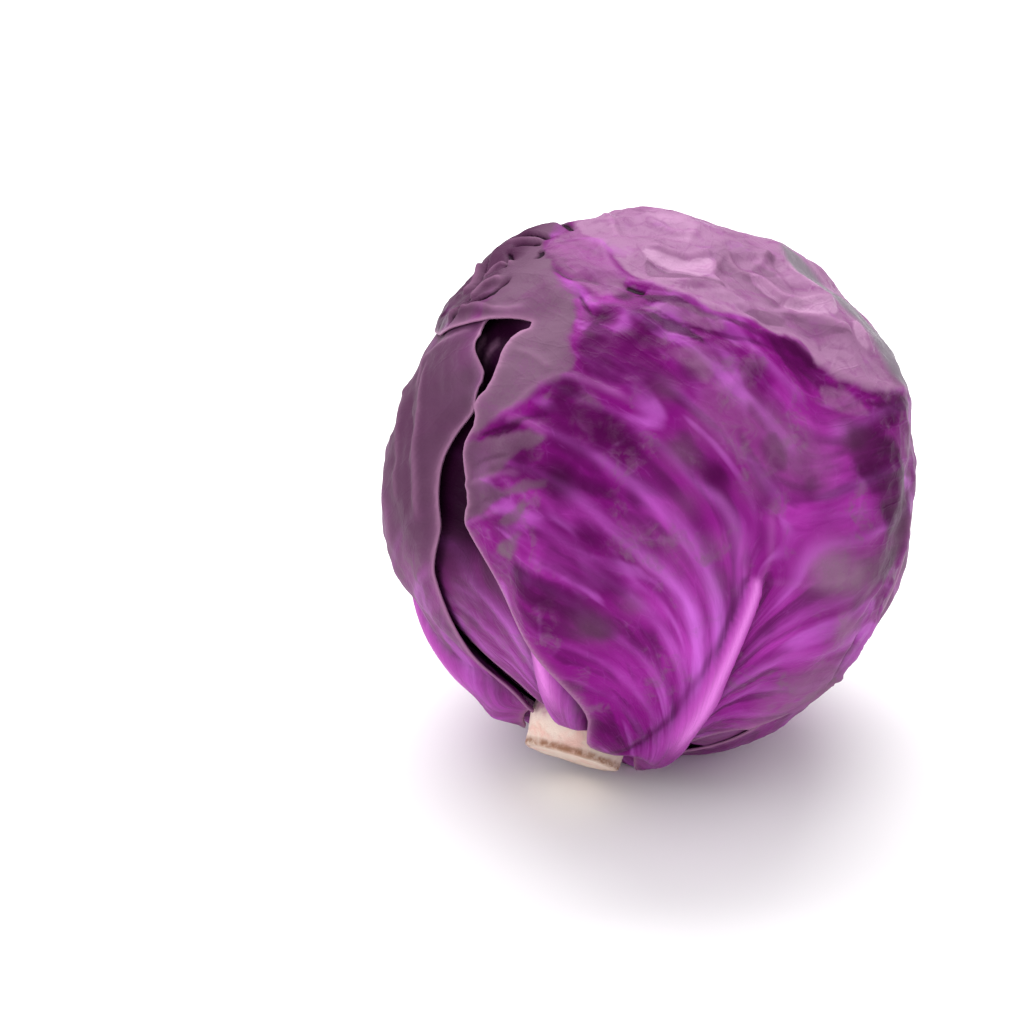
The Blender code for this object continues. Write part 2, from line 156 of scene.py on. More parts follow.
# The round cord that shows on each midrib, from its line to the left and to the right
CORD_HEIGHTS = (10, 15, 20, 30, 36, 42, 48, 54, 59, 64, 67, 69.5, 71.5, 80)
CORD_RISES = (
    0.0036, 0.0052, 0.0062, 0.0060, 0.0055, 0.0050, 0.0045, 0.0039, 0.0035, 0.0031, 0.0028, 0.0012, 0.0004, 0.0,
)
CORD_MIDDLES = (
    0.0, 0.0, 0.0003, 0.0002, 0.0002, 0.0000, -0.0009, -0.0016, -0.0023, -0.0029, -0.0034, -0.0038, -0.0038,
    -0.0038,
)
CORD_LEFT = (
    0.0110, 0.0095, 0.0066, 0.0046, 0.0042, 0.0038, 0.0032, 0.0028, 0.0027, 0.0027, 0.0027, 0.0022, 0.0014, 0.001,
)
CORD_RIGHT = (
    0.0075, 0.0070, 0.0060, 0.0044, 0.0042, 0.0040, 0.0036, 0.0032, 0.0031, 0.0030, 0.0029, 0.0022, 0.0014, 0.001,
)

# Side veins leave the midrib close along it, bend outwards and fade
VEIN_CLIMB = 66.0
VEIN_BEND = 22.0
VEIN_POWER = 0.6
VEIN_WIDTH = 0.0023
VEIN_REACH = 58.0
VEIN_WANDER = 1.8
# From this height on they fan out of the midrib's end
FAN_HEIGHT = 66.0
FAN_FADE = 16.0

# The cut stem, from its neck under the heart to its foot
STEM_NECK_RADIUS = 0.0144
STEM_RADIUS = 0.0150
STEM_FOOT_RADIUS = 0.0142
STEM_SIDES = 160
STEM_GAP = 0.0004
STEM_END = 0.0835
STEM_CHAMFER = 0.0009


def along(height, turn):
    """Unit vectors from the middle of the head, in the head's own frame, with +Z towards the crown."""
    height, turn = np.radians(height), np.radians(turn)
    return np.stack(
        [np.sin(height) * np.cos(turn), np.sin(height) * np.sin(turn), -np.cos(height) + 0 * turn], axis=-1
    )


def places(ways):
    """The height and turn of each unit vector."""
    height = np.degrees(np.arccos(np.clip(-ways[..., 2], -1, 1)))
    return height, np.degrees(np.arctan2(ways[..., 1], ways[..., 0]))


def ease(value):
    """0 below 0, 1 above 1, and smooth between."""
    value = np.clip(value, 0, 1)
    return value * value * (3 - 2 * value)


def turn_between(turn, origin):
    """The turn from origin, from -180 to 180."""
    return (turn - origin + 180) % 360 - 180


def head_placement():
    """The matrix that carries the head's frame to its place on the table."""
    elevation, left, front = (math.radians(a) for a in (FRONT_ELEVATION, STEM_TO_LEFT, STEM_TO_FRONT))
    right = Vector((1, 0, 0))
    up = Vector((0, math.sin(elevation), math.cos(elevation)))
    viewer = Vector((0, -math.cos(elevation), math.sin(elevation)))
    stem = math.cos(front) * (-math.sin(left) * right - math.cos(left) * up) + math.sin(front) * viewer
    z_axis = -stem
    x_axis = (viewer - viewer.dot(z_axis) * z_axis).normalized()
    y_axis = z_axis.cross(x_axis)
    turned = Matrix((x_axis, y_axis, z_axis)).transposed().to_4x4()
    return Matrix.Translation((0, 0, REST_DISTANCE)) @ turned


PLACEMENT = head_placement()
TURNED = np.array(PLACEMENT.to_3x3())
DOWN = np.array(PLACEMENT.to_3x3().transposed() @ Vector((0, 0, -1)))


def to_table(points):
    """Points of the head's frame at their place on the table, pressed softly into the box of the solids."""
    points = points @ TURNED.T + np.array([0, 0, REST_DISTANCE])
    low, high = (np.array(corner) for corner in CAD_BOX)
    for side, limit in ((1, high), (-1, low)):
        for axis in (0, 1, 2) if side == 1 else (0, 1):
            room = side * (limit[axis] - points[:, axis])
            eased = BOX_EASE * np.logaddexp(0, room / BOX_EASE)
            points[:, axis] = np.where(room < BOX_MARGIN, limit[axis] - side * eased, points[:, axis])
    return points


def under_plane(radius, ways, distance, blend=0.0008):
    """The radius brought in smoothly to a plane at this distance below the middle of the head."""
    facing = ways @ DOWN
    limit = np.where(facing > 0.5, distance / np.maximum(facing, 0.5), 1.0)
    share = np.clip(0.5 + 0.5 * (limit - radius) / blend, 0, 1)
    return limit + (radius - limit) * share - blend * share * (1 - share)


def hollow(ways, margin):
    """1 in the middle of the hollow at the front leaf's left edge, and 0 away from it. Margins widen it."""
    height, turn = places(ways)
    across = turn_between(turn, HOLLOW_TURN) * np.sin(np.radians(height)) / (HOLLOW_WIDTH + margin)
    low, high = HOLLOW_HEIGHTS[0] - margin, HOLLOW_HEIGHTS[1] + margin
    window = ease((height - low) / HOLLOW_EASE + 0.5) * ease((high - height) / HOLLOW_EASE + 0.5)
    return window * np.exp(-(across**2))


def head_form(ways):
    """The radius of the tight head under all wrapper leaves, without the hollow."""
    rng = np.random.default_rng(WAVE_SEED)
    radius = np.full(len(ways), HEART_RADIUS)
    for height, turn, rise, width in SWELLINGS:
        apart = np.degrees(np.arccos(np.clip(ways @ along(height, turn), -1, 1)))
        radius += rise * np.exp(-((apart / width) ** 2))
    for _ in range(WAVE_COUNT):
        heading = rng.normal(size=3)
        rate = rng.uniform(*WAVE_RATE)
        radius += WAVE_HEIGHT * np.cos(rate * (ways @ (heading / np.linalg.norm(heading))) + rng.uniform(0, 6.28))
    return under_plane(radius, ways, REST_DISTANCE - LAYER_PITCH - BLADE_THICKNESS + 0.0001)


@dataclass
class Leaf:
    """One wrapper leaf.

    Its outline's points are heights with turns from the midrib's line. Veins are the level at which each
    leaves the midrib, and its strength. Free, tight, wax, dusk and glow are soft spots: height, turn, radius
    in degrees and weight; the dusk spots are mostly painted shade. Curls are height, turn, reach in degrees,
    rise, and the rate of their waves.
    """

    name: str
    midrib: float
    middle: float
    outline: list
    left_veins: tuple
    right_veins: tuple
    spacing: float
    seed: int
    sweep: float = 30.0
    hollow: tuple = (0.0, 0.0)
    vein_rise: float = 0.0009
    facets: float = 0.5
    strokes: tuple = ()
    curls: tuple = ()
    free: tuple = ()
    tight: tuple = ()
    wax: tuple = ()
    wax_areas: tuple = ()
    wax_and_sheen_areas: tuple = ()
    pale_areas: tuple = ()
    lit_facets: tuple = ()
    shaded_facets: tuple = ()
    dusk: tuple = ()
    dusk_areas: tuple = ()
    glow: tuple = ()
    glow_areas: tuple = ()
    edge: np.ndarray = field(default=None, repr=False)

    def basis(self):
        height, turn = math.radians(self.middle), math.radians(self.midrib)
        outward = along(self.middle, self.midrib)
        side = np.array([-math.sin(turn), math.cos(turn), 0])
        up = np.array([math.cos(height) * math.cos(turn), math.cos(height) * math.sin(turn), math.sin(height)])
        return outward, side, up

    def flat(self, ways):
        """The leaf laid flat round its middle: metres to the side and up, for each unit vector."""
        outward, side, up = self.basis()
        angle = np.arccos(np.clip(ways @ outward, -1, 1))
        over, to_crown = ways @ side, ways @ up
        length = np.maximum(np.hypot(over, to_crown), 1e-9)
        scale = HEART_RADIUS * angle / length
        return np.stack([over * scale, to_crown * scale], axis=-1)

    def ways(self, flat):
        """Unit vectors for points of the flat leaf."""
        outward, side, up = self.basis()
        length = np.maximum(np.hypot(flat[:, 0], flat[:, 1]), 1e-9)
        angle = length / HEART_RADIUS
        heading = (flat[:, :1] * side + flat[:, 1:] * up) / length[:, None]
        return np.cos(angle)[:, None] * outward + np.sin(angle)[:, None] * heading

    def rib_turn(self, height):
        """The turn of the midrib's line: it sweeps round the stem and then runs straight up the head."""
        return self.midrib + self.sweep * np.exp(-(height - 12) / RIB_SWEEP_DECAY)


def smooth_line(points, steps, closed):
    """A curve through the points."""
    if closed:
        before, after = np.roll(points, 1, 0), np.roll(points, -1, 0)
        starts, ends = points, after
        tangent = (after - before) / 2
        end_tangent = np.roll(tangent, -1, 0)
    else:
        tangent = np.gradient(points, axis=0)
        starts, ends, end_tangent, tangent = points[:-1], points[1:], tangent[1:], tangent[:-1]
    t = (np.arange(steps) / steps)[:, None, None]
    curve = (
        (2 * t**3 - 3 * t**2 + 1) * starts
        + (t**3 - 2 * t**2 + t) * tangent
        + (3 * t**2 - 2 * t**3) * ends
        + (t**3 - t**2) * end_tangent
    )
    curve = curve.transpose(1, 0, 2).reshape(-1, 2)
    return curve if closed else np.vstack([curve, points[-1:]])


def spaced(curve, spacing, closed):
    """The curve's points at even steps of about the spacing."""
    if closed:
        curve = np.vstack([curve, curve[:1]])
    run = np.concatenate([[0], np.cumsum(np.linalg.norm(np.diff(curve, axis=0), axis=1))])
    count = max(2, round(run[-1] / spacing))
    at = np.linspace(0, run[-1], count + 1)
    points = np.stack([np.interp(at, run, curve[:, k]) for k in (0, 1)], axis=-1)
    return points[:-1] if closed else points


def line_distance(points, start, end):
    """How far each point is from the nearest of the straight pieces, and its place along them, from 0 to 1."""
    run = end - start
    square = np.maximum((run**2).sum(-1), 1e-12)
    parts = 4
    tree = KDTree(len(start) * parts)
    for number, (a, d) in enumerate(zip(start, run)):
        for part in range(parts):
            tree.insert((*(a + d * (part + 0.5) / parts), 0), number)
    tree.balance()
    nearest = np.array([tree.find((x, y, 0))[1] for x, y in points.tolist()])
    distance, place = np.full(len(points), np.inf), np.zeros(len(points))
    for step in (-1, 0, 1):
        piece = np.clip(nearest + step, 0, len(start) - 1) if step else nearest
        offset = points - start[piece]
        share = np.clip((offset * run[piece]).sum(-1) / square[piece], 0, 1)
        gap = np.linalg.norm(offset - share[:, None] * run[piece], axis=1)
        closer = gap < distance
        distance = np.where(closer, gap, distance)
        place = np.where(closer, (piece + share) / len(start), place)
    return distance, place


def edge_distance(points, loop):
    """How far inside the closed loop each point lies, negative outside."""
    start, end = loop, np.roll(loop, -1, 0)
    nearest = line_distance(points, start, end)[0]
    crossings = np.zeros(len(points), int)
    x, y = points[:, 0], points[:, 1]
    for (x0, y0), (x1, y1) in zip(start.tolist(), end.tolist()):
        if y0 != y1:
            crossings += ((y0 > y) != (y1 > y)) & (x < x0 + (y - y0) * (x1 - x0) / (y1 - y0))
    return np.where(crossings % 2 == 1, nearest, -nearest)


def coverage(leaf, ways):
    """1 where the leaf lies, fading to 0 outside its edge."""
    return ease(1 + (edge_distance(leaf.flat(ways), leaf.edge) + 0.001) / SUPPORT_FADE)


def rib_across(leaf, ways):
    """Metres from the midrib's line, positive to the right of it, and the height up the head."""
    height, turn = places(ways)
    across = np.radians(turn_between(turn, leaf.rib_turn(height))) * np.sin(np.radians(height)) * HEART_RADIUS
    slope = leaf.sweep * np.exp(-(height - 12) / RIB_SWEEP_DECAY) / RIB_SWEEP_DECAY * np.sin(np.radians(height))
    return across / np.hypot(1, slope), height


def rib_support(leaf, ways):
    """The room that a leaf lying over this one leaves for its midrib."""
    across, height = rib_across(leaf, ways)
    width = np.interp(height, RIB_HEIGHTS, RIB_HALF_WIDTHS) + 0.006
    return np.interp(height, RIB_HEIGHTS, RIB_RISES) * np.exp(-((across / width) ** 2) * 1.6)


def rib_body(leaf, ways):
    """The midrib's height above the blade, and masks for its body, a painted highlight along its crest and painted
    shade in the dip beside it.
    """
    across, height = rib_across(leaf, ways)
    rise, middle, left, right = (
        np.interp(height, CORD_HEIGHTS, row) for row in (CORD_RISES, CORD_MIDDLES, CORD_LEFT, CORD_RIGHT)
    )
    off = across - middle
    reach = np.where(off > 0, off / right, off / left)
    bulge = np.clip(1 - reach**2, 0, 1) ** 0.62
    skirt = RIB_SKIRT * np.exp(-((off / (1.8 * left)) ** 2))
    body = rise * (skirt + (1 - RIB_SKIRT) * bulge)
    firm = ease((rise - 0.0008) / 0.0014)
    shown = ease((1.06 - np.abs(reach)) / 0.30) * firm
    crest = np.exp(-(((reach + 0.08) / 0.40) ** 2)) * shown
    valley_shade = np.exp(-(((off + left + 0.0012) / 0.0018) ** 2))
    valley_shade = valley_shade + 0.8 * np.exp(-(((off - right - 0.0006) / 0.0012) ** 2))
    return body, shown, crest, valley_shade * firm


def vein_levels(leaf, ways):
    """Degrees from the midrib, the level that side veins follow, and metres per degree of that level."""
    height, turn = places(ways)
    off = turn_between(turn, leaf.rib_turn(height))
    reach = np.hypot(off / VEIN_BEND, 0.02 + 0.5 * ease((height - FAN_HEIGHT) / FAN_FADE))
    fall = np.exp(-(reach**VEIN_POWER))
    level = height - VEIN_CLIMB * (1 - fall)
    slope = VEIN_CLIMB * fall * VEIN_POWER * reach ** (VEIN_POWER - 1) / VEIN_BEND
    slope = slope / np.maximum(np.sin(np.radians(height)), 0.15)
    return off, level, math.radians(1) / np.hypot(1, slope) * HEART_RADIUS


def side_veins(leaf, ways):
    """The side veins as a mask from 0 to 1 for their height and a narrower one for their colour."""
    off, level, scale = vein_levels(leaf, ways)
    wander = VEIN_WANDER * rough_field(ways, 2.6, leaf.seed + 5, 2)
    uneven = 0.75 + 0.35 * rough_field(ways, 5, leaf.seed + 6, 2)
    best, tint = np.zeros(len(ways)), np.zeros(len(ways))
    for side, veins in ((-1, leaf.left_veins), (1, leaf.right_veins)):
        here = ease(off * side / 2)
        for start, strength in veins:
            gone = np.abs(off) / VEIN_REACH
            metres = np.abs(level - start - wander) * scale
            width = VEIN_WIDTH * (1.15 - 0.55 * np.clip(gone, 0, 1)) * (0.6 + 0.5 * strength)
            fade = strength * here * (1 - 0.78 * ease(gone)) * ease((np.abs(off) - 2) / 4)
            best = np.maximum(best, fade * np.exp(-((metres / width) ** 2)))
            tint = np.maximum(tint, fade * np.exp(-((metres / (0.8 * width)) ** 2)) * np.clip(uneven, 0.2, 1.1))
    return best, tint


def rough_field(points, rate, seed, octaves):
    """Smooth noise of about -1 to 1 at each point."""
    shift = 13.7 * seed
    moved = (points * rate + (shift, -0.6 * shift, 0.4 * shift)).tolist()
    return np.array([noise.fractal(p, 1.0, 2.0, octaves) for p in moved])


def facet_field(flat, size, tilt, seed):
    """Flat facets of a crumpled sheet: height over the round head in metres, and a random tone for each facet, which
    the skin paints as a lighter highlight or a darker shade.
    """
    rng = np.random.default_rng(seed)
    steps_x = np.arange(-0.15, 0.15, size * FACET_STRETCH)
    steps_y = np.arange(-0.15, 0.15, size)
    grid = np.stack(np.meshgrid(steps_x, steps_y), axis=-1).reshape(-1, 2)
    grid = grid + rng.uniform(-0.42, 0.42, grid.shape) * (size * FACET_STRETCH, size)
    leaning = rng.uniform(-tilt, tilt, grid.shape) * (0.6, 1.0)
    tone = rng.uniform(-1, 1, len(grid))
    total, shade = np.full(len(flat), 1e-9), np.zeros(len(flat))
    for spot, lean, value in zip(grid, leaning, tone):
        off = flat - spot
        near = np.flatnonzero(np.abs(off[:, 1]) < 2.5 * size)
        near = near[np.abs(off[near, 0]) < 2.5 * size * FACET_STRETCH]
        off = off[near]
        rise = (off[:, 0] ** 2 / FACET_STRETCH + off[:, 1] ** 2) / (2 * HEART_RADIUS) + off @ lean
        share = np.exp(-rise / FACET_BLEND)
        total[near] += share
        shade[near] += share * value
    return -FACET_BLEND * np.log(total), shade / total


def blobs(spots, ways):
    """The largest of the soft spots at each place. A spot is a height, turn, radius in degrees and weight."""
    found = np.zeros(len(ways))
    for height, turn, radius, weight in spots:
        apart = np.degrees(np.arccos(np.clip(ways @ along(height, turn), -1, 1)))
        found = np.maximum(found, weight * np.exp(-((apart / radius) ** 2)))
    return found


def areas(leaf, outlines, flat, warp):
    """1 inside the outlined areas, with soft edges. An area is its outline, the softness of its edge and a weight."""
    found = np.zeros(len(flat))
    for points, softness, weight in outlines:
        points = np.array(points, float)
        loop = spaced(smooth_line(leaf.flat(along(points[:, 0], points[:, 1])), 8, closed=True), 0.003, closed=True)
        depth = edge_distance(flat + warp, loop)
        found = np.maximum(found, weight * ease(0.5 + depth / softness))
    return found


def stroke_relief(leaf, flat):
    """Ridges and creases drawn along lines, and masks for the painted highlight on a ridge's crest and the painted
    shade in a crease.
    """
    relief, crest, crease = (np.zeros(len(flat)) for _ in range(3))
    for points, rise, width in leaf.strokes:
        points = np.array(points, float)
        line = spaced(smooth_line(leaf.flat(along(points[:, 0], points[:, 1])), 8, closed=False), 0.002, closed=False)
        low, high = line.min(0) - 3.2 * width, line.max(0) + 3.2 * width
        near = np.flatnonzero(((flat > low) & (flat < high)).all(1))
        if not len(near):
            continue
        distance, place = line_distance(flat[near], line[:-1], line[1:])
        taper = ease(place / STROKE_TAPER) * ease((1 - place) / STROKE_TAPER)
        shape = taper * np.exp(-((distance / width) ** 2))
        relief[near] += rise * shape
        target = crest if rise > 0 else crease
        strength = taper * min(1, abs(rise) / STROKE_FULL_RISE) ** 1.5
        target[near] = np.maximum(target[near], strength * np.exp(-((distance / STROKE_LINE) ** 2)))
    return relief, crest, crease


def floor_of(leaf, under, ways):
    """The radius of the leaf's inner face: the head's form and the leaves under it."""
    margin, depth = leaf.hollow
    radius = head_form(ways) - depth * hollow(ways, margin)
    for other in under:
        share = coverage(other, ways)
        radius += share * (LAYER_PITCH + rib_support(other, ways))
    return radius


def leaf_faces(leaf, under, over, flat, sizes):
    """The inner and outer faces' points above each point of the flat leaf, and masks for its colours, painted
    highlight and painted shade among them.
    """
    ways = leaf.ways(flat)
    inside = np.maximum(edge_distance(flat, leaf.edge), 0)
    bare = np.ones(len(ways))
    for other in over:
        bare *= 1 - coverage(other, ways)
    bearing = np.arctan2(flat[:, 0], flat[:, 1])
    ruffle = FLARE_HEIGHT + RUFFLE_HEIGHT * np.sin(RUFFLE_COUNT * bearing + leaf.midrib)
    ruffle = ruffle + 0.0005 * rough_field(ways, 14, leaf.seed + 1, 2)
    free = np.clip(blobs(leaf.free, ways), 0, 1)
    lift = bare * free * np.maximum(ruffle, 0) * np.exp(-inside / FLARE_REACH)
    pressed = PRESS_DEPTH * (1 + 0.9 * np.clip(blobs(leaf.tight, ways), 0, 1))
    lift = lift - bare * (1 - free) * pressed * np.exp(-((inside / PRESS_REACH) ** 2))
    height, turn = places(ways)
    for curl_height, curl_turn, reach, rise, wave in leaf.curls:
        near = ((height - curl_height) / reach) ** 2 + (turn_between(turn, curl_turn) / reach) ** 2
        waved = rise * (1 + 0.30 * np.sin(wave * np.radians(height)))
        lift = np.maximum(lift, waved * np.exp(-near) * np.exp(-inside / (0.8 * FLARE_REACH)))
    rib, rib_shown, rib_highlight, valley_shade = rib_body(leaf, ways)
    grown = ease((height - 22) / 12)
    open_blade = (1 - ease(rib / 0.0015)) * ease(inside / 0.002)
    warp = np.stack([rough_field(ways, 3.5, leaf.seed + k, 2) for k in (7, 8)], axis=-1)
    bent = flat + 0.0016 * warp
    broad, facet = facet_field(bent, *BROAD_FACETS, leaf.seed)
    small, small_facet = facet_field(bent, *SMALL_FACETS, leaf.seed + 20)
    upper = 0.22 + 0.78 * ease((height - CRUMPLE_HEIGHT) / CRUMPLE_FADE)
    crumple = leaf.facets * upper * (1.25 * (broad - broad.mean()) + 0.9 * (small - small.mean()))
    crinkle = 0.00022 * rough_field(ways, 22, leaf.seed + 2, 3) + 0.00055 * rough_field(ways, 8, leaf.seed + 3, 2)
    relief, crest, crease = stroke_relief(leaf, flat)
    loose = (crumple + crinkle) * sizes.crinkle
    loose = loose * (0.25 + 0.75 * bare) * open_blade + relief * bare
    inner = floor_of(leaf, under, ways) + (lift + np.maximum(loose, -DEEPEST_CRUMPLE)) * ease((height - 14) / 10)
    blade = EDGE_THICKNESS + (BLADE_THICKNESS - EDGE_THICKNESS) * ease(inside / EDGE_TAPER)
    veins, tint = side_veins(leaf, ways)
    veins = veins * ease(inside / 0.016)
    tint = tint * ease(inside / 0.006)
    outer = inner + blade + leaf.vein_rise * sizes.veins * veins * (0.6 + 0.4 * bare)
    outer = outer + rib * ease(inside / 0.010 + 0.12)
    limit = np.where(ways @ DOWN > 0.5, REST_DISTANCE / np.maximum(ways @ DOWN, 0.5), 1)
    outer = np.minimum(outer, limit)
    inner = np.minimum(inner, outer - 0.0005)
    off, level, _ = vein_levels(leaf, ways)
    edge_warp = 0.0016 * warp + 0.0008 * np.stack([rough_field(ways, 18, k, 3) for k in (1, 2)], axis=-1)
    spots_and_areas = {
        name: np.maximum(blobs(spots, ways), areas(leaf, outlines, flat, edge_warp))
        for name, spots, outlines in (
            ("wax", leaf.wax, leaf.wax_areas), ("pale", (), leaf.pale_areas), ("grey", (), leaf.wax_and_sheen_areas),
            ("dusk", leaf.dusk, leaf.dusk_areas), ("glow", leaf.glow, leaf.glow_areas),
        )
    }
    # painted shade: the dip beside the midrib and the drawn creases, which the skin paints darker
    dark = np.maximum(0.8 * valley_shade, CREASE_SHADE_STRENGTH * crease)
    masks = spots_and_areas | {
        # the vein and rim masks also carry a painted highlight on the crests of drawn ridges
        "vein": np.maximum(tint, 0.6 * crest),
        "rib": rib_shown * (0.2 + 0.8 * grown),
        # painted highlight along the midrib's crest
        "crest": rib_highlight * (0.12 + 0.88 * grown),
        "rim": np.maximum(np.exp(-inside / 0.0009), 0.6 * crest),
        # painted highlight and painted shade on the crown's facets: a random tone for each, and the lit and shaded
        # facets listed
        "facet": (0.36 * facet + 0.20 * small_facet) * upper
        + areas(leaf, leaf.lit_facets, flat, 0.25 * edge_warp)
        - areas(leaf, leaf.shaded_facets, flat, 0.25 * edge_warp),
        "dusk": np.maximum(spots_and_areas["dusk"], dark),
    }
    grain = np.stack([np.radians(level) * HEART_RADIUS, np.radians(off) * 0.055, 0.01 * leaf.seed + 0 * off], axis=-1)
    return ways * inner[:, None], ways * outer[:, None], masks, grain


def flat_mesh(leaf, scale):
    """Points and triangles that fill the flat leaf evenly."""
    spacing = leaf.spacing * scale
    rim = spaced(leaf.edge, spacing * 0.8, closed=True)
    edges = [(i, (i + 1) % len(rim)) for i in range(len(rim))]
    low, high = rim.min(0), rim.max(0)
    rows = np.arange(low[1], high[1], spacing * math.sqrt(0.75))
    columns = np.arange(low[0], high[0], spacing)
    grid_x, grid_y = np.meshgrid(columns, rows)
    grid_x = grid_x + (np.arange(len(rows)) % 2)[:, None] * spacing / 2
    fill = np.stack([grid_x.ravel(), grid_y.ravel()], axis=-1)
    fill = fill[edge_distance(fill, rim) > spacing * 0.55]
    made = delaunay_2d_cdt([Vector(p) for p in np.vstack([rim, fill])], edges, [], 1, 1e-7)
    return np.array([tuple(p) for p in made[0]]), np.array([tuple(f) for f in made[2]])


def closed_shell(name, inner, outer, triangles):
    """A closed shell whose two faces are split into the same triangles."""
    count = len(outer)
    ends = np.concatenate([triangles[:, [0, 1]], triangles[:, [1, 2]], triangles[:, [2, 0]]])
    code, back = ends[:, 0] * count + ends[:, 1], ends[:, 1] * count + ends[:, 0]
    open_ends = ends[~np.isin(back, code)]
    a, b = open_ends[:, 0], open_ends[:, 1]
    rim = np.concatenate([np.stack([b, a, count + a], -1), np.stack([b, count + a, count + b], -1)])
    faces = np.concatenate([triangles, triangles[:, ::-1] + count, rim])
    mesh = bpy.data.meshes.new(name)
    mesh.vertices.add(2 * count)
    mesh.vertices.foreach_set("co", np.vstack([outer, inner]).astype(np.float32).ravel())
    mesh.loops.add(3 * len(faces))
    mesh.loops.foreach_set("vertex_index", faces.astype(np.int32).ravel())
    mesh.polygons.add(len(faces))
    mesh.polygons.foreach_set("loop_start", np.arange(0, 3 * len(faces), 3, dtype=np.int32))
    mesh.update(calc_edges=True)
    mesh.shade_smooth()
    return mesh


def store(mesh, name, values, kind="FLOAT"):
    """Keeps one value a point on the mesh, for its material to read."""
    layer = mesh.attributes.new(name, kind, "POINT")
    values = np.asarray(values, np.float32)
    layer.data.foreach_set("vector" if kind == "FLOAT_VECTOR" else "value", values.ravel())


def leaf_outline(left, right, tip):
    """An outline from half widths in degrees of turn at set heights, up one side, over the tip and down the other."""
    heights = (15, 22, 32, 45, 60, 76, 92, 108, 124, 139, 152)
    shape = (38, 40, 48, 60, 70, 75, 77, 78, 82, 90, 108)
    up = [(h, -w * left) for h, w in zip(heights, shape)]
    down = [(h, w * right) for h, w in reversed(list(zip(heights, shape)))]
    return [(12.5, 0), (12.7, -30), *up, *tip, *down, (12.7, 30)]


FRONT_OUTLINE = [
    (12.5, 0), (12.7, -34), (13, -58), (15.5, -64), (19.5, -57), (25, -50), (33, -52), (42, -59), (50, -66),
    (58, -72.5), (64, -76), (70, -74.5), (77.5, -75.5), (81.5, -75), (85, -73), (89, -73.5), (92.5, -71),
    (97, -70.5), (101, -71), (105, -70.5), (109, -68.5), (109.2, -72), (107.6, -78), (106.4, -85), (105.9, -92),
    (106, -100), (107.5, -110), (112, -121), (122, -130), (136, -135), (149, -142), (160, -165), (164, 165),
    (160, 125), (151, 92), (139, 70), (125, 57), (110, 50), (95, 47), (80, 46), (66, 46), (56, 45), (47, 39),
    (38, 31), (28, 24), (20, 23), (15.5, 27), (13, 20),
]
LEFT_OUTLINE = [
    (12.5, 0), (12.7, -30), (15, -37), (22, -39), (32, -47), (45, -59), (60, -69), (76, -73.5), (92, -75.5),
    (108, -76.5), (124, -80), (139, -88), (152, -106), (158, -138), (160, 180), (157, 138), (152, 99), (139, 83),
    (124, 75), (114, 67), (107, 62), (103, 64.5), (99, 66), (95, 69), (92.5, 67.5), (88, 61), (79, 54), (70, 51.5),
    (60, 50.5), (46, 48), (32, 42), (22, 36), (15, 34), (12.7, 30),
]

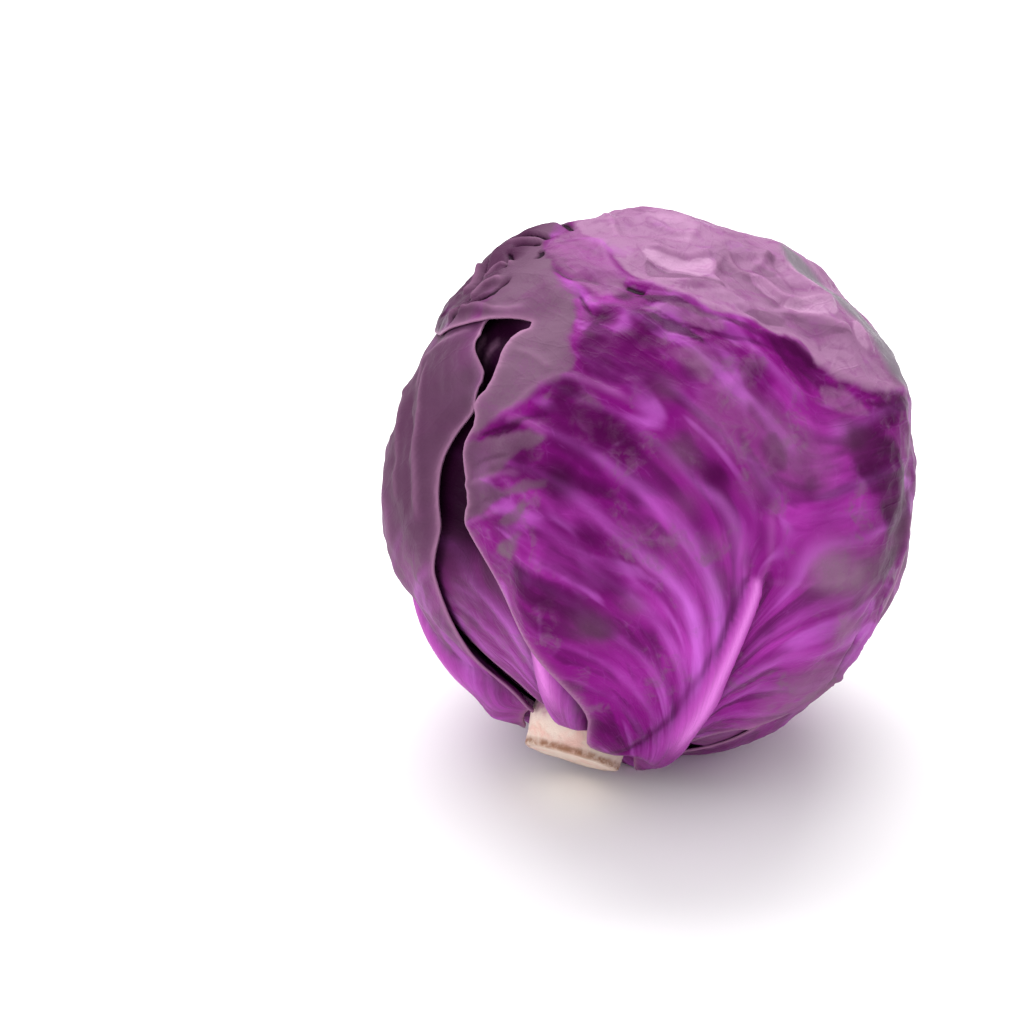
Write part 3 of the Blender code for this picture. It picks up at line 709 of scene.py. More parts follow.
# Ridges and creases of the front leaf: heights and turns on the head, rise, width
FRONT_STROKES = (
    # the fork of the midrib's end
    (((68, 28.6), (73.6, 29.5), (80, 27), (86, 25)), 0.0006, 0.0016),
    (((69, 31), (71, 37), (72.5, 43), (78, 50)), 0.0005, 0.0016),
    (((67, 27), (71.5, 23.9), (77.8, 18.5), (84, 12)), 0.0005, 0.0018),
    # the lip and the cracks above the notch
    (((113, -41), (110.6, -43), (109.8, -48), (110.4, -54), (109.6, -62), (108, -68)), 0.0012, 0.0018),
    (((106.5, -66), (110.5, -60.5), (114.5, -63.2), (117.8, -66.8), (121, -72)), -0.0024, 0.0010),
    (((110, -59), (112.8, -54.2), (116.5, -52.3), (119.5, -52)), -0.0027, 0.0010),
    (((112.3, -59.4), (116.4, -61.2), (118.5, -57.5), (118.1, -52.6)), 0.0014, 0.0020),
    (((119.3, -65.5), (123.4, -66.8), (125, -62), (123.7, -57)), 0.0013, 0.0018),
    (((116, -73), (120.5, -74), (125.4, -79.6)), 0.0013, 0.0014),
    (((118, -71), (123, -73.5), (128, -79)), -0.0012, 0.0012),
    (((122, -60), (126, -63), (129, -69)), -0.0016, 0.0013),
    (((130, -69), (132, -65.2), (133.6, -60)), -0.0022, 0.0011),
    (((133.4, -77), (135.1, -69.6), (135.6, -58.5)), -0.0024, 0.0012),
    (((130.5, -74), (133.6, -66), (134.3, -60)), 0.0010, 0.0011),
    (((126.3, -51.4), (128.9, -52.5), (131, -56.6)), -0.0019, 0.0009),
    (((142.6, -74), (141.8, -66), (140.6, -57)), -0.0018, 0.0011),
    (((151, -68), (149.2, -54.7), (141.9, -38.2)), 0.0010, 0.0016),
    # folds over the shoulder, where the leaf turns from the front to the top
    (((141, -46), (133.2, -33.3), (128.4, -25.8), (127.3, -15)), 0.0006, 0.0024),
    (((124.2, -43), (122.3, -36.3), (123.6, -31.7), (124.2, -27)), -0.0010, 0.0016),
    (((119.5, -31.5), (115.7, -27.2), (113, -22.5)), -0.0010, 0.0016),
    (((125.4, -22), (124.6, -18.6), (123.8, -15)), -0.0016, 0.0013),
    (((129, -22), (124.8, -6), (124, 8), (124.6, 18)), 0.0010, 0.0030),
    (((128.2, -17.5), (129.6, -10.2), (132.1, -3), (134, 6)), 0.0009, 0.0018),
    (((142.7, -28), (144.5, -13.8), (150.2, -1)), 0.0008, 0.0018),
    (((137.5, -22), (135.7, -10.9), (136.8, -1)), -0.0008, 0.0018),
    (((152.4, 1.1), (143.9, 8.6), (142, 16.7), (137.1, 24.5), (136.6, 32)), 0.0012, 0.0018),
    (((133.9, 5.5), (138.4, 0.1), (151, 1.5)), 0.0010, 0.0016),
    (((145.7, 15.5), (154.2, 24.1)), 0.0008, 0.0016),
    (((154.2, 24.1), (145.5, 26.9), (139, 30)), -0.0008, 0.0016),
    (((131.5, 22), (132.3, 29.7), (131.2, 38.1), (130.5, 46)), 0.0012, 0.0016),
    (((134.8, 23), (140.5, 44.8)), 0.0009, 0.0018),
    (((135, 48), (131.7, 50.2), (126.5, 52)), 0.0010, 0.0015),
    (((127.5, 8), (124.9, 15.9), (122.4, 22)), -0.0009, 0.0016),
    (((154.2, -43), (153.1, -24.4), (154.7, -10)), 0.0008, 0.0018),
    (((159.8, -54), (154.5, -32.3)), -0.0008, 0.0018),
    (((124, 22), (120, 32), (117.5, 48), (123, 70)), 0.0010, 0.0028),
    (((122, -20), (117, -6), (116.5, 8), (118, 20), (112, 36)), -0.0009, 0.0028),
    # the edge of the dull patch, and lines that run in from the left margin
    (((85, -39), (89, -33), (93.5, -29.5), (97.5, -24), (97, -16), (95, -7)), 0.0008, 0.0014),
    (((82, -42), (84.5, -35), (88, -28), (90, -22)), -0.0010, 0.0022),
    (((86.5, -35), (87, -30), (84, -22)), 0.0007, 0.0011),
    (((75, -44), (78, -37), (80, -30)), -0.0008, 0.0018),
    (((71, -45), (73.5, -38), (76, -31), (76, -26)), 0.0008, 0.0016),
    (((67, -45), (68.5, -39), (71, -33), (71, -27)), -0.0008, 0.0018),
    (((63, -45), (66, -37), (69, -30)), 0.0007, 0.0016),
    (((102, -39), (101, -33), (98.5, -27)), 0.0006, 0.0013),
    # folds at the right shoulder and along the right rim
    (((48.7, 42.9), (55.3, 45.9), (59.4, 51.3), (63.2, 57.8), (67.4, 68)), 0.0004, 0.0014),
    (((27.7, 62), (35.8, 65.8), (42.3, 76.4), (49.9, 85.3)), 0.0006, 0.0013),
    (((65.9, 58), (72.5, 60.3), (81.5, 64.8)), 0.0008, 0.0010),
    (((74.5, 71), (68, 73.9), (58.2, 77.2), (54, 84)), 0.0011, 0.0010),
    (((45.5, 70), (52.5, 73.5), (61.5, 77.6)), 0.0010, 0.0010),
    (((76.6, 70.5), (72.8, 73.8), (68, 77)), 0.0009, 0.0010),
    (((97, 68), (91, 70.7), (84, 72.8)), 0.0009, 0.0011),
    (((82.4, 72), (77.4, 70.4)), 0.0009, 0.0011),
    (((70, 66), (62, 70), (56, 74)), -0.0009, 0.0014),
    (((100, 2), (105, 10), (112, 14), (117, 13)), 0.0004, 0.0018),
    (((99, -10), (106, -12), (113, -10)), -0.0007, 0.0026),
)

LEFT_STROKES = (
    (((105.8, -51), (104.8, -57.3), (102.5, -67), (99.5, -72.5), (92, -75)), 0.0014, 0.0020),
    (((101, -70), (93, -68), (84, -66.5), (74, -66), (62, -66)), 0.0012, 0.0024),
    (((98, -88), (88, -81), (78, -77), (66, -76)), 0.0009, 0.0024),
    (((94, -80), (84, -72), (74, -70.5), (64, -70)), -0.0010, 0.0020),
    (((88, -96), (80, -88), (70, -84), (58, -84)), 0.0007, 0.0026),
)

# Side veins: the level at which each leaves the midrib, and its strength
INNER_LEFT_VEINS = (
    (-6, 0.6), (6, 1.0), (18, 0.6), (30, 1.0), (43, 0.6), (56, 0.9), (70, 0.5),
)
INNER_RIGHT_VEINS = (
    (0, 0.6), (12, 1.0), (24, 0.6), (37, 1.0), (50, 0.5), (64, 0.9),
)
OUTER_LEFT_VEINS = (
    (-16, 0.5), (-5, 1.0), (7, 0.6), (19, 0.9), (31, 0.5), (43, 1.0), (55, 0.6), (67, 0.8), (80, 0.4),
)
OUTER_RIGHT_VEINS = (
    (-10, 0.5), (1, 0.9), (13, 0.5), (25, 1.0), (37, 0.6), (49, 0.9), (61, 0.5), (74, 0.8),
)
FRONT_LEFT_VEINS = (
    (-18, 0.35), (-8, 0.4), (2, 0.45), (12, 0.55), (21.5, 1.0), (31, 1.0), (41, 0.5), (52, 0.35), (63, 0.35),
    (75, 0.4),
)
FRONT_RIGHT_VEINS = (
    (-12, 0.35), (-2, 0.4), (8, 0.42), (20, 0.45), (33, 0.3), (45, 0.4), (57, 0.3), (70, 0.4),
)

# Crumpled young leaf edges deep in the hollow
INNER_STROKES = (
    (((82, -53), (79, -50), (78, -46), (80, -43)), 0.0008, 0.0014),
    (((78, -54), (74, -50), (72, -47)), 0.0007, 0.0014),
    (((70, -55), (67, -51), (66, -47), (69, -45)), 0.0007, 0.0015),
    (((90, -50), (85, -48), (81, -46)), -0.0010, 0.0012),
    (((106.5, -58), (103, -56.5), (99, -55), (96, -56), (92, -54)), 0.0018, 0.0013),
    (((106, -52), (102, -50.5), (98, -52), (95, -50.5)), 0.0016, 0.0012),
    (((105, -46), (101, -47), (98, -48.5)), 0.0012, 0.0012),
)

# Soft spots of colour on the front leaf: height, turn, radius in degrees, weight
FRONT_WAX = (
    (77, 46, 6, 1.0), (78, 52, 5, 1.0), (67.6, 59.1, 5, 0.7), (96, 28, 5, 0.15), (79, 57, 5, 0.9),
    (76, 50, 4.5, 0.8), (88, 4, 4, 0.45), (104, 40, 5, 0.25), (66, 84, 8, 0.85), (54, 60, 6, 0.55),
    (56, 76, 9, 0.8), (42, 80, 6, 0.6), (96, 80, 9, 0.8), (92, 66, 5, 0.7), (108, 4, 4, 0.3), (79, 8, 3.5, 0.3),
    (86, 20, 3.5, 0.3), (48, -4, 4, 0.4), (56, 4, 2.5, 0.4), (100, -2, 3, 0.3), (72, 16, 3, 0.3), (66, 20, 3, 0.3),
    (36, 74, 4, 0.4),
)
# darker spots, most of them painted shade in dips and where the blade turns from the light
FRONT_DUSK = (
    (114, -22, 5, 1.0), (114.5, -10, 5, 1.0), (107, -12, 8, 1.0), (13, 100, 10, 0.75), (62, -3, 5, 0.7),
    (66, -10, 6, 0.8), (90, 64, 9, 1.0), (118, -70, 17, 0.85), (131, -80, 18, 0.85), (112, -90, 20, 0.8),
    (79, -44, 7, 0.8), (70, -44, 8, 0.8), (121.5, -20, 3, 0.9), (77, -18, 7, 1.0), (65, -16, 6, 0.8),
    (87, -14, 7, 0.9), (79, -27, 5, 0.9), (102, -16, 7, 1.0), (101, -6, 6, 1.0), (90, 62, 6, 1.0),
    (105, 1, 4, 0.8), (84, 60, 5, 1.0), (96, 52, 6, 0.9), (110, 14, 4, 0.7), (82, 72, 5, 0.7), (94, -22, 5, 1.0),
    (72, -34, 4, 0.7), (15, 68, 8, 0.9), (60, -10, 5, 0.8), (86, 12, 3, 1.0), (58, 0, 5, 0.5), (66, -30, 5, 0.6),
    (98, 66, 5, 0.8), (84, 24, 2.6, 0.8), (91, 33, 2.4, 0.7), (116, -14, 4, 0.8), (116, 24, 3.5, 0.6),
    (74, 79, 4, 0.6), (113, 52, 4, 0.8), (72, 24, 2.5, 0.5), (48, 8, 5, 0.4), (73, 56, 3, 0.6),
    (60, 38.5, 2.5, 0.6), (30, 66, 4, 0.7),
)
FRONT_GLOW = (
    (60, 14, 8, 0.9), (50, 24, 8, 1.0), (72, 20, 7, 0.8), (84, 30, 8, 0.9), (90, 46, 7, 0.8), (60, 46, 9, 1.0),
    (65, 8, 4, 1.0), (100, 27, 5, 1.0), (66, 41, 5, 0.8), (102, 54, 6, 0.6), (45, 58, 9, 0.6), (40, 14, 8, 0.6),
    (76, 2, 6, 0.6), (100, 34, 6, 0.8), (78, 42, 7, 0.9), (68, 56, 7, 0.6), (112, -20, 4, 0.9), (118, -24, 5, 0.9),
    (62, -16, 6, 0.7), (71, -14, 4, 0.8),
)

# Outlined areas of the front leaf: outline in heights and turns, softness of its edge in metres, weight
# grey at the crown's far side: a painted reflection of the light at a grazing angle, over waxy bloom
FRONT_WAX_AND_SHEEN_AREAS = (
    (
        (
            (160, 39), (154, 58), (146.4, 61), (138.3, 67), (129, 71), (123, 76), (121.1, 63), (128.9, 56),
            (136.1, 54), (141.3, 47), (148.1, 42.5), (152.3, 31),
        ),
        0.005, 1.0,
    ),
)
# the waxy patch at the upper left, the turned-over end, and the patches along the left margin
FRONT_WAX_AREAS = (
    (
        (
            (115.8, -30.5), (107.6, -26.5), (103, -24.5), (99.4, -23), (95.5, -26.5), (92.5, -29.5), (89, -33.5),
            (86, -37), (84, -41), (81, -50), (92, -52), (104, -50), (112, -52), (124, -64), (140, -86),
            (142.5, -72), (132.5, -57), (124, -43),
        ),
        0.0022, 1.0,
    ),
    (((104, -60), (112, -52), (126, -58), (146, -70), (160, -110), (146, -140), (110, -130)), 0.012, 0.9),
    (
        (
            (79, -47), (81.6, -40.6), (82.9, -34.2), (84.6, -28.8), (84.5, -23.2), (82.4, -25.3), (80.7, -29.2),
            (78.1, -31.4), (74.9, -35.5), (73.3, -40.2), (73.4, -47),
        ),
        0.0022, 0.85,
    ),
    (
        (
            (70.2, -48), (72.9, -47), (73.8, -39.3), (72.3, -32.3), (74.5, -27.1), (75.8, -21.3), (75.4, -20.2),
            (73.4, -24.3), (72.1, -29.5), (70.4, -32.1), (68.5, -34.8), (65.8, -39.9), (64, -47), (67.5, -49),
        ),
        0.0022, 0.8,
    ),
    (
        (
            (65.5, -32), (68.2, -28.1), (71, -24.8), (72, -23.7), (70.5, -23.4), (68, -24.9), (65.7, -27.4),
        ),
        0.0018, 0.7,
    ),
    (((59.5, -33), (62.3, -29.6), (65.6, -23.7), (64, -25.4), (60.5, -25.2), (58.5, -28.6)), 0.0018, 0.7),
)
# the pale crown, its own paler skin with a painted highlight from the light above, and paler places of the blade
FRONT_PALE_AREAS = (
    (
        (
            (130, -24), (127.5, -18), (125, -9), (124.4, -3), (122.2, 2), (123.8, 10.9), (122.2, 19), (123, 27),
            (118, 32), (116.4, 43), (117.2, 51), (121, 62), (123.6, 71), (130, 92), (150, 120), (176, 180),
            (150, -100), (143, -62), (136, -34),
        ),
        0.0022, 1.0,
    ),
    (
        (
            (118.7, -13.5), (120.9, -7.2), (121.4, -0.3), (120.2, 4.7), (117.6, 7.1), (117.2, 4.6), (117.3, -1.2),
            (118.4, -7.6),
        ),
        0.0018, 0.5,
    ),
    (((52, 56), (60, 62), (58, 72), (46, 72), (38, 66), (44, 58)), 0.012, 0.38),
    (((104, 8), (103, 22), (98, 36), (90, 36), (90, 20), (95, 4)), 0.01, 0.28),
    (((72, -4), (73, 8), (68, 14), (63, 10), (64, 0)), 0.008, 0.1),
    (((112.7, 32.8), (114.3, 40.8), (112, 45.7), (109.1, 38), (109, 33.5)), 0.0022, 0.5),
    (((108, -5), (110.5, 0), (107, 5), (103, 4.5), (105.5, 1)), 0.0025, 0.4),
    (((80, 44), (79.5, 52), (76, 53), (73, 47), (74, 41), (77, 40)), 0.006, 0.42),
    (
        (
            (150, -66), (140.6, -43), (127.4, -25.5), (122.2, -22), (121.4, -30.6), (124.8, -41.4), (133, -56),
        ),
        0.004, 0.5,
    ),
    (((70, 55), (69, 62), (66, 61), (65.5, 56), (68, 53)), 0.005, 0.4),
)
# painted highlight: facets of the crown painted lighter, where they catch the light
FRONT_LIT_FACETS = (
    (
        (
            (141, -25.4), (143.1, -13.1), (146.9, -1), (139.2, -0.1), (137, -2), (137.4, -10.4), (137.9, -23.1),
        ),
        0.0016, 0.8,
    ),
    (((142.1, 12.6), (142, 16.7), (140.2, 21.9), (137.8, 24.6), (135, 22.1), (137, 18.6)), 0.0016, 0.8),
    (((136, 24.8), (139.7, 44.1), (134, 40.1), (132.3, 29.7), (132.6, 25.4)), 0.0014, 1.0),
    (((134, 47.5), (135.5, 54.6), (130.8, 50.4), (126.6, 51.2), (129.6, 46.3)), 0.0016, 0.9),
    (((149, 16), (151.5, 34), (146, 44), (142.2, 38), (143.4, 26)), 0.003, 0.7),
    (
        (
            (158.8, -54.5), (163.4, -34.3), (156.9, -2.5), (152.4, 1.1), (150.8, -9.4), (146.2, -18.5),
            (146.5, -30.5),
        ),
        0.003, 0.15,
    ),
)
# painted shade: facets of the crown painted darker, where they turn away from the light
FRONT_SHADED_FACETS = (
    (
        (
            (137.2, -22.6), (136.6, -13), (136.1, -2.3), (134.1, 6.1), (131.8, -2.9), (130.7, -13.3),
            (131.8, -19.3),
        ),
        0.0016, 0.8,
    ),
    (
        (
            (144.1, -0.5), (151.5, 2.1), (145, 9.3), (141.8, 13.9), (136.3, 18.5), (135, 22.1), (129.3, 19.1),
            (130.2, 11.4), (134.9, 6.6), (138.4, 0.1),
        ),
        0.0016, 0.55,
    ),
    (((144.5, 15), (154.2, 24.1), (147.1, 26.9), (145.8, 27.9), (143.1, 19.8)), 0.0016, 0.6),
    (((130.5, 22.7), (130.3, 43.6), (128.6, 39.9), (125.5, 30.2), (124.9, 19), (126.5, 10.6)), 0.0016, 0.75),
    (((110, 56), (121, 56), (130, 64), (124, 74), (112, 70)), 0.006, 0.5),
)
# painted shade: dark places, most of them in the dips between the veins
FRONT_DUSK_AREAS = (
    (
        (
            (109, -48), (113, -54), (119, -55), (124, -60), (130, -60), (140, -72), (150, -90), (150, -112),
            (130, -122), (112, -112), (106, -92), (107, -66),
        ),
        0.009, 1.0,
    ),
    (((117.2, -12), (117.2, -6), (115.8, -0.7), (112.5, 4.5), (113.2, -2), (114.1, -8)), 0.002, 1.0),
    (
        (
            (107.5, 40), (108, 52), (104, 60), (94, 70), (84, 68), (79, 66), (80, 60), (86, 57), (95, 48),
            (101, 41),
        ),
        0.006, 0.95,
    ),
    (((88, -30), (93, -24), (93, -14), (90, -6), (86, -4), (85, -14), (86, -24)), 0.006, 0.8),
    (((65, -18), (64, -8), (61, 0), (57, 3), (56, -6), (59, -18)), 0.006, 1.0),
    (((24, 50), (20, 60), (14, 64), (12, 80), (19, 96), (27, 84), (28, 64)), 0.005, 0.55),
    (((112, -24), (110, -18), (109, -8), (105, -4), (102, -10), (104, -22)), 0.004, 0.95),
    (((76, -37), (78.5, -30), (80, -22), (80, -12), (78, -2), (75.5, -1), (75, -12), (74.5, -24)), 0.005, 0.8),
    (((67.5, -24), (67, -16), (65.5, -8), (63, -8), (64, -18)), 0.004, 0.8),
    (((59, -26), (56.5, -12), (53, 0), (48, 4), (46, -4), (50, -14), (53, -26)), 0.006, 0.95),
    (((81.8, -39), (84, -36), (86.5, -32), (85.5, -30), (83, -34)), 0.0018, 0.9),
    (((104, -24), (109, -22), (108, -14), (106.5, -5), (102, -4), (98, -10), (98, -20)), 0.004, 0.9),
    (
        (
            (122, -18), (123.4, -8), (121.5, 0), (121.6, 18), (122, 27), (116.6, 32), (118.5, 22), (119.4, 8),
            (120, -8),
        ),
        0.002, 0.9,
    ),
    (((113.6, 44), (115.6, 52), (119, 62), (117, 64), (113.5, 54)), 0.002, 0.9),
    (((106.5, 40), (103, 50), (97, 54), (93, 50), (98, 42)), 0.005, 0.85),
    (((98, 20), (97, 24), (92, 27), (90, 24), (93, 20)), 0.003, 0.8),
)
# bright places of the blade
FRONT_GLOW_AREAS = (
    (((109, 21), (105, 26), (100.9, 33), (96.3, 31), (100, 24), (104, 19)), 0.004, 0.9),
    (((98, 34), (99, 42), (94, 44), (91, 38), (94, 32)), 0.005, 0.9),
    (((123.5, -41), (121, -31), (114, -22), (110, -20), (112, -27), (119, -37)), 0.003, 1.0),
    (((74, -24), (73, -10), (71, 2), (69, 2), (70, -14), (71, -24)), 0.004, 0.7),
    (((67, 3), (65, 10), (60, 16), (52, 22), (47, 25), (46, 21), (52, 17), (58, 12), (62, 6), (65, 1)), 0.003, 0.9),
)

LEAVES = [
    Leaf(
        "inner_leaf_back", -160, 88, leaf_outline(1.0, 0.98, [(163, -150), (166, 165), (160, 132)]),
        INNER_LEFT_VEINS, INNER_RIGHT_VEINS, 0.0024, 3, sweep=24, facets=0.2,
    ),
    Leaf(
        "inner_leaf_front", -22, 92, leaf_outline(0.96, 1.0, [(157, -140), (160, -178), (157, 140)]),
        INNER_LEFT_VEINS, INNER_RIGHT_VEINS, 0.0018, 4, sweep=24,
        hollow=HOLLOW_UNDER_INNER_LEAF, facets=0.2, strokes=INNER_STROKES,
        # painted shade, nearly black, deep in the hollow
        dusk=((75, -50, 30, 1.9), (98, -50, 22, 1.9)),
    ),
    Leaf(
        "wrapper_leaf_right", 128, 86, leaf_outline(1.0, 1.04, [(160, -140), (163, 178), (159, 140)]),
        OUTER_LEFT_VEINS, OUTER_RIGHT_VEINS, 0.0013, 5, sweep=22, facets=0.5,
        wax=((80, 160, 26, 0.8), (110, 120, 24, 0.7), (60, 100, 18, 0.5), (130, -170, 30, 0.8)),
        dusk=((70, 135, 16, 0.6), (95, 150, 12, 0.6), (100, 95, 14, 0.6), (60, 175, 18, 0.6)),
        glow=((40, 130, 18, 0.9),),
    ),
    Leaf(
        "wrapper_leaf_left", -112, 86, LEFT_OUTLINE,
        OUTER_LEFT_VEINS, OUTER_RIGHT_VEINS, 0.0013, 6, sweep=26,
        hollow=HOLLOW_UNDER_LEFT_LEAF, facets=0.5, strokes=LEFT_STROKES,
        curls=((98, -44, 12, 0.0036, 40),),
        free=((100, -46, 16, 1.0), (80, -54, 14, 0.4)),
        wax=((88, -84, 44, 1.0), (98, -66, 14, 0.9), (120, -140, 34, 0.9)),
        # painted shade on the blade where it dips towards the dark gap at the hollow
        dusk=(
            (84, -54, 9, 1.0), (94, -50, 6, 1.0), (90, -52, 7, 1.0), (72, -58, 13, 1.0), (100, -130, 16, 0.5),
            (60, -110, 16, 0.5), (88, -72, 22, 0.9), (104, -56, 8, 0.8),
        ),
        dusk_areas=((((60, -50), (104, -50), (105, -70), (96, -84), (76, -86), (58, -76)), 0.02, 0.95),),
        glow=((40, -105, 16, 0.8),),
    ),
    Leaf(
        "front_leaf", 31, 88, FRONT_OUTLINE,
        FRONT_LEFT_VEINS, FRONT_RIGHT_VEINS, 0.0010, 7, sweep=55,
        vein_rise=0.0015, facets=1.0, strokes=FRONT_STROKES,
        free=((104, -42, 12, 1.0), (92, -40, 14, 0.9), (78, -46, 14, 0.6)),
        tight=((26, 80, 14, 1.0), (26, 100, 14, 1.0), (40, 96, 12, 0.6)),
        wax=FRONT_WAX, wax_areas=FRONT_WAX_AREAS, wax_and_sheen_areas=FRONT_WAX_AND_SHEEN_AREAS, pale_areas=FRONT_PALE_AREAS,
        lit_facets=FRONT_LIT_FACETS, shaded_facets=FRONT_SHADED_FACETS,
        dusk=FRONT_DUSK, dusk_areas=FRONT_DUSK_AREAS, glow=FRONT_GLOW, glow_areas=FRONT_GLOW_AREAS,
    ),
]


def settings(context):
    """The sizes, looks and studio values of the head."""
    return context.scene.cabbage_head


def new_material(name):
    """A material, the wiring of its nodes, and its Principled BSDF."""
    made = bpy.data.materials.new(name)
    made.use_nodes = True
    return made, Wiring(made.node_tree), made.node_tree.nodes["Principled BSDF"]


class Wiring:
    """Short calls that add nodes to one tree."""

    def __init__(self, tree):
        self.tree = tree

    def add(self, kind, **values):
        node = self.tree.nodes.new(kind)
        for name, value in values.items():
            setattr(node, name, value)
        return node

    def feed(self, socket, value):
        if isinstance(value, bpy.types.NodeSocket):
            self.tree.links.new(value, socket)
        else:
            socket.default_value = value

    def math(self, operation, a, b=0.0, c=0.0, clamp=False):
        node = self.add("ShaderNodeMath", operation=operation, use_clamp=clamp)
        for socket, value in zip(node.inputs, (a, b, c)):
            self.feed(socket, value)
        return node.outputs[0]

    def times(self, *values, clamp=False):
        """The product of the values. Only the last step is held between 0 and 1."""
        product = values[0]
        for number, value in enumerate(values[1:], 2):
            product = self.math("MULTIPLY", product, value, clamp=clamp and number == len(values))
        return product

    def between(self, value, low, high, to_low=0.0, to_high=1.0, smooth=True):
        node = self.add("ShaderNodeMapRange", interpolation_type="SMOOTHSTEP" if smooth else "LINEAR")
        for socket, item in zip(node.inputs, (value, low, high, to_low, to_high)):
            self.feed(socket, item)
        return node.outputs[0]

    def blend(self, share, first, second):
        node = self.add("ShaderNodeMix", data_type="RGBA")
        self.feed(node.inputs[0], share)
        self.feed(node.inputs[6], first)
        self.feed(node.inputs[7], second)
        return node.outputs[2]

    def noise(self, vector, scale, detail=3.0, roughness=0.5, distortion=0.0):
        node = self.add("ShaderNodeTexNoise")
        self.feed(node.inputs["Vector"], vector)
        values = {"Scale": scale, "Detail": detail, "Roughness": roughness, "Distortion": distortion}
        for name, value in values.items():
            node.inputs[name].default_value = value
        return node.outputs[0]

    def noises(self, vector, scale):
        """Three noises at once, for bending a pattern."""
        node = self.add("ShaderNodeTexNoise")
        self.feed(node.inputs["Vector"], vector)
        node.inputs["Scale"].default_value = scale
        return node.outputs["Color"]

    def cells(self, vector, scale):
        node = self.add("ShaderNodeTexVoronoi", feature="DISTANCE_TO_EDGE")
        self.feed(node.inputs["Vector"], vector)
        node.inputs["Scale"].default_value = scale
        return node.outputs["Distance"]

    def stretched(self, vector, scale):
        node = self.add("ShaderNodeVectorMath", operation="MULTIPLY")
        self.feed(node.inputs[0], vector)
        node.inputs[1].default_value = scale
        return node.outputs[0]

    def sum(self, first, second):
        node = self.add("ShaderNodeVectorMath", operation="ADD")
        self.feed(node.inputs[0], first)
        self.feed(node.inputs[1], second)
        return node.outputs[0]

    def finish(self, shader, colour, roughness, height):
        """Feeds the shader, the height through a bump in metres."""
        bump = self.add("ShaderNodeBump")
        bump.inputs["Distance"].default_value = 1.0
        self.feed(bump.inputs["Height"], height)
        for name, value in (("Base Color", colour), ("Roughness", roughness), ("Normal", bump.outputs["Normal"])):
            self.feed(shader.inputs[name], value)


# What the leaf's mesh tells its skin at each point, and the skin's colours
SKIN_MASKS = ("vein", "rib", "crest", "rim", "wax", "pale", "grey", "facet", "dusk", "glow")
SKIN_COLOURS = ("blade", "dusk", "glow", "vein", "rib", "wax", "pale", "grey", "shine", "shade", "rim", "deep")
# A leaf's wax scatters light and hardly mirrors it, and a moist cut does more
LEAF_SPECULAR = 0.055
STEM_SPECULAR = 0.35
# The stem's stains, its dried rim, and its neck where the leaves grew
STEM_STAIN = (0.78, 0.50, 0.42, 1)
STEM_DRIED = (0.30, 0.15, 0.09, 1)
STEM_NECK = (0.34, 0.12, 0.27, 1)


def group_tree(name, inputs, outputs):
    """A shader node group with the sockets named, and the nodes that hold them."""
    tree = bpy.data.node_groups.new(name, "ShaderNodeTree")
    for side, sockets in (("INPUT", inputs), ("OUTPUT", outputs)):
        for socket, kind in sockets:
            tree.interface.new_socket(name=socket, in_out=side, socket_type=kind)
    return tree, tree.nodes.new("NodeGroupInput"), tree.nodes.new("NodeGroupOutput")


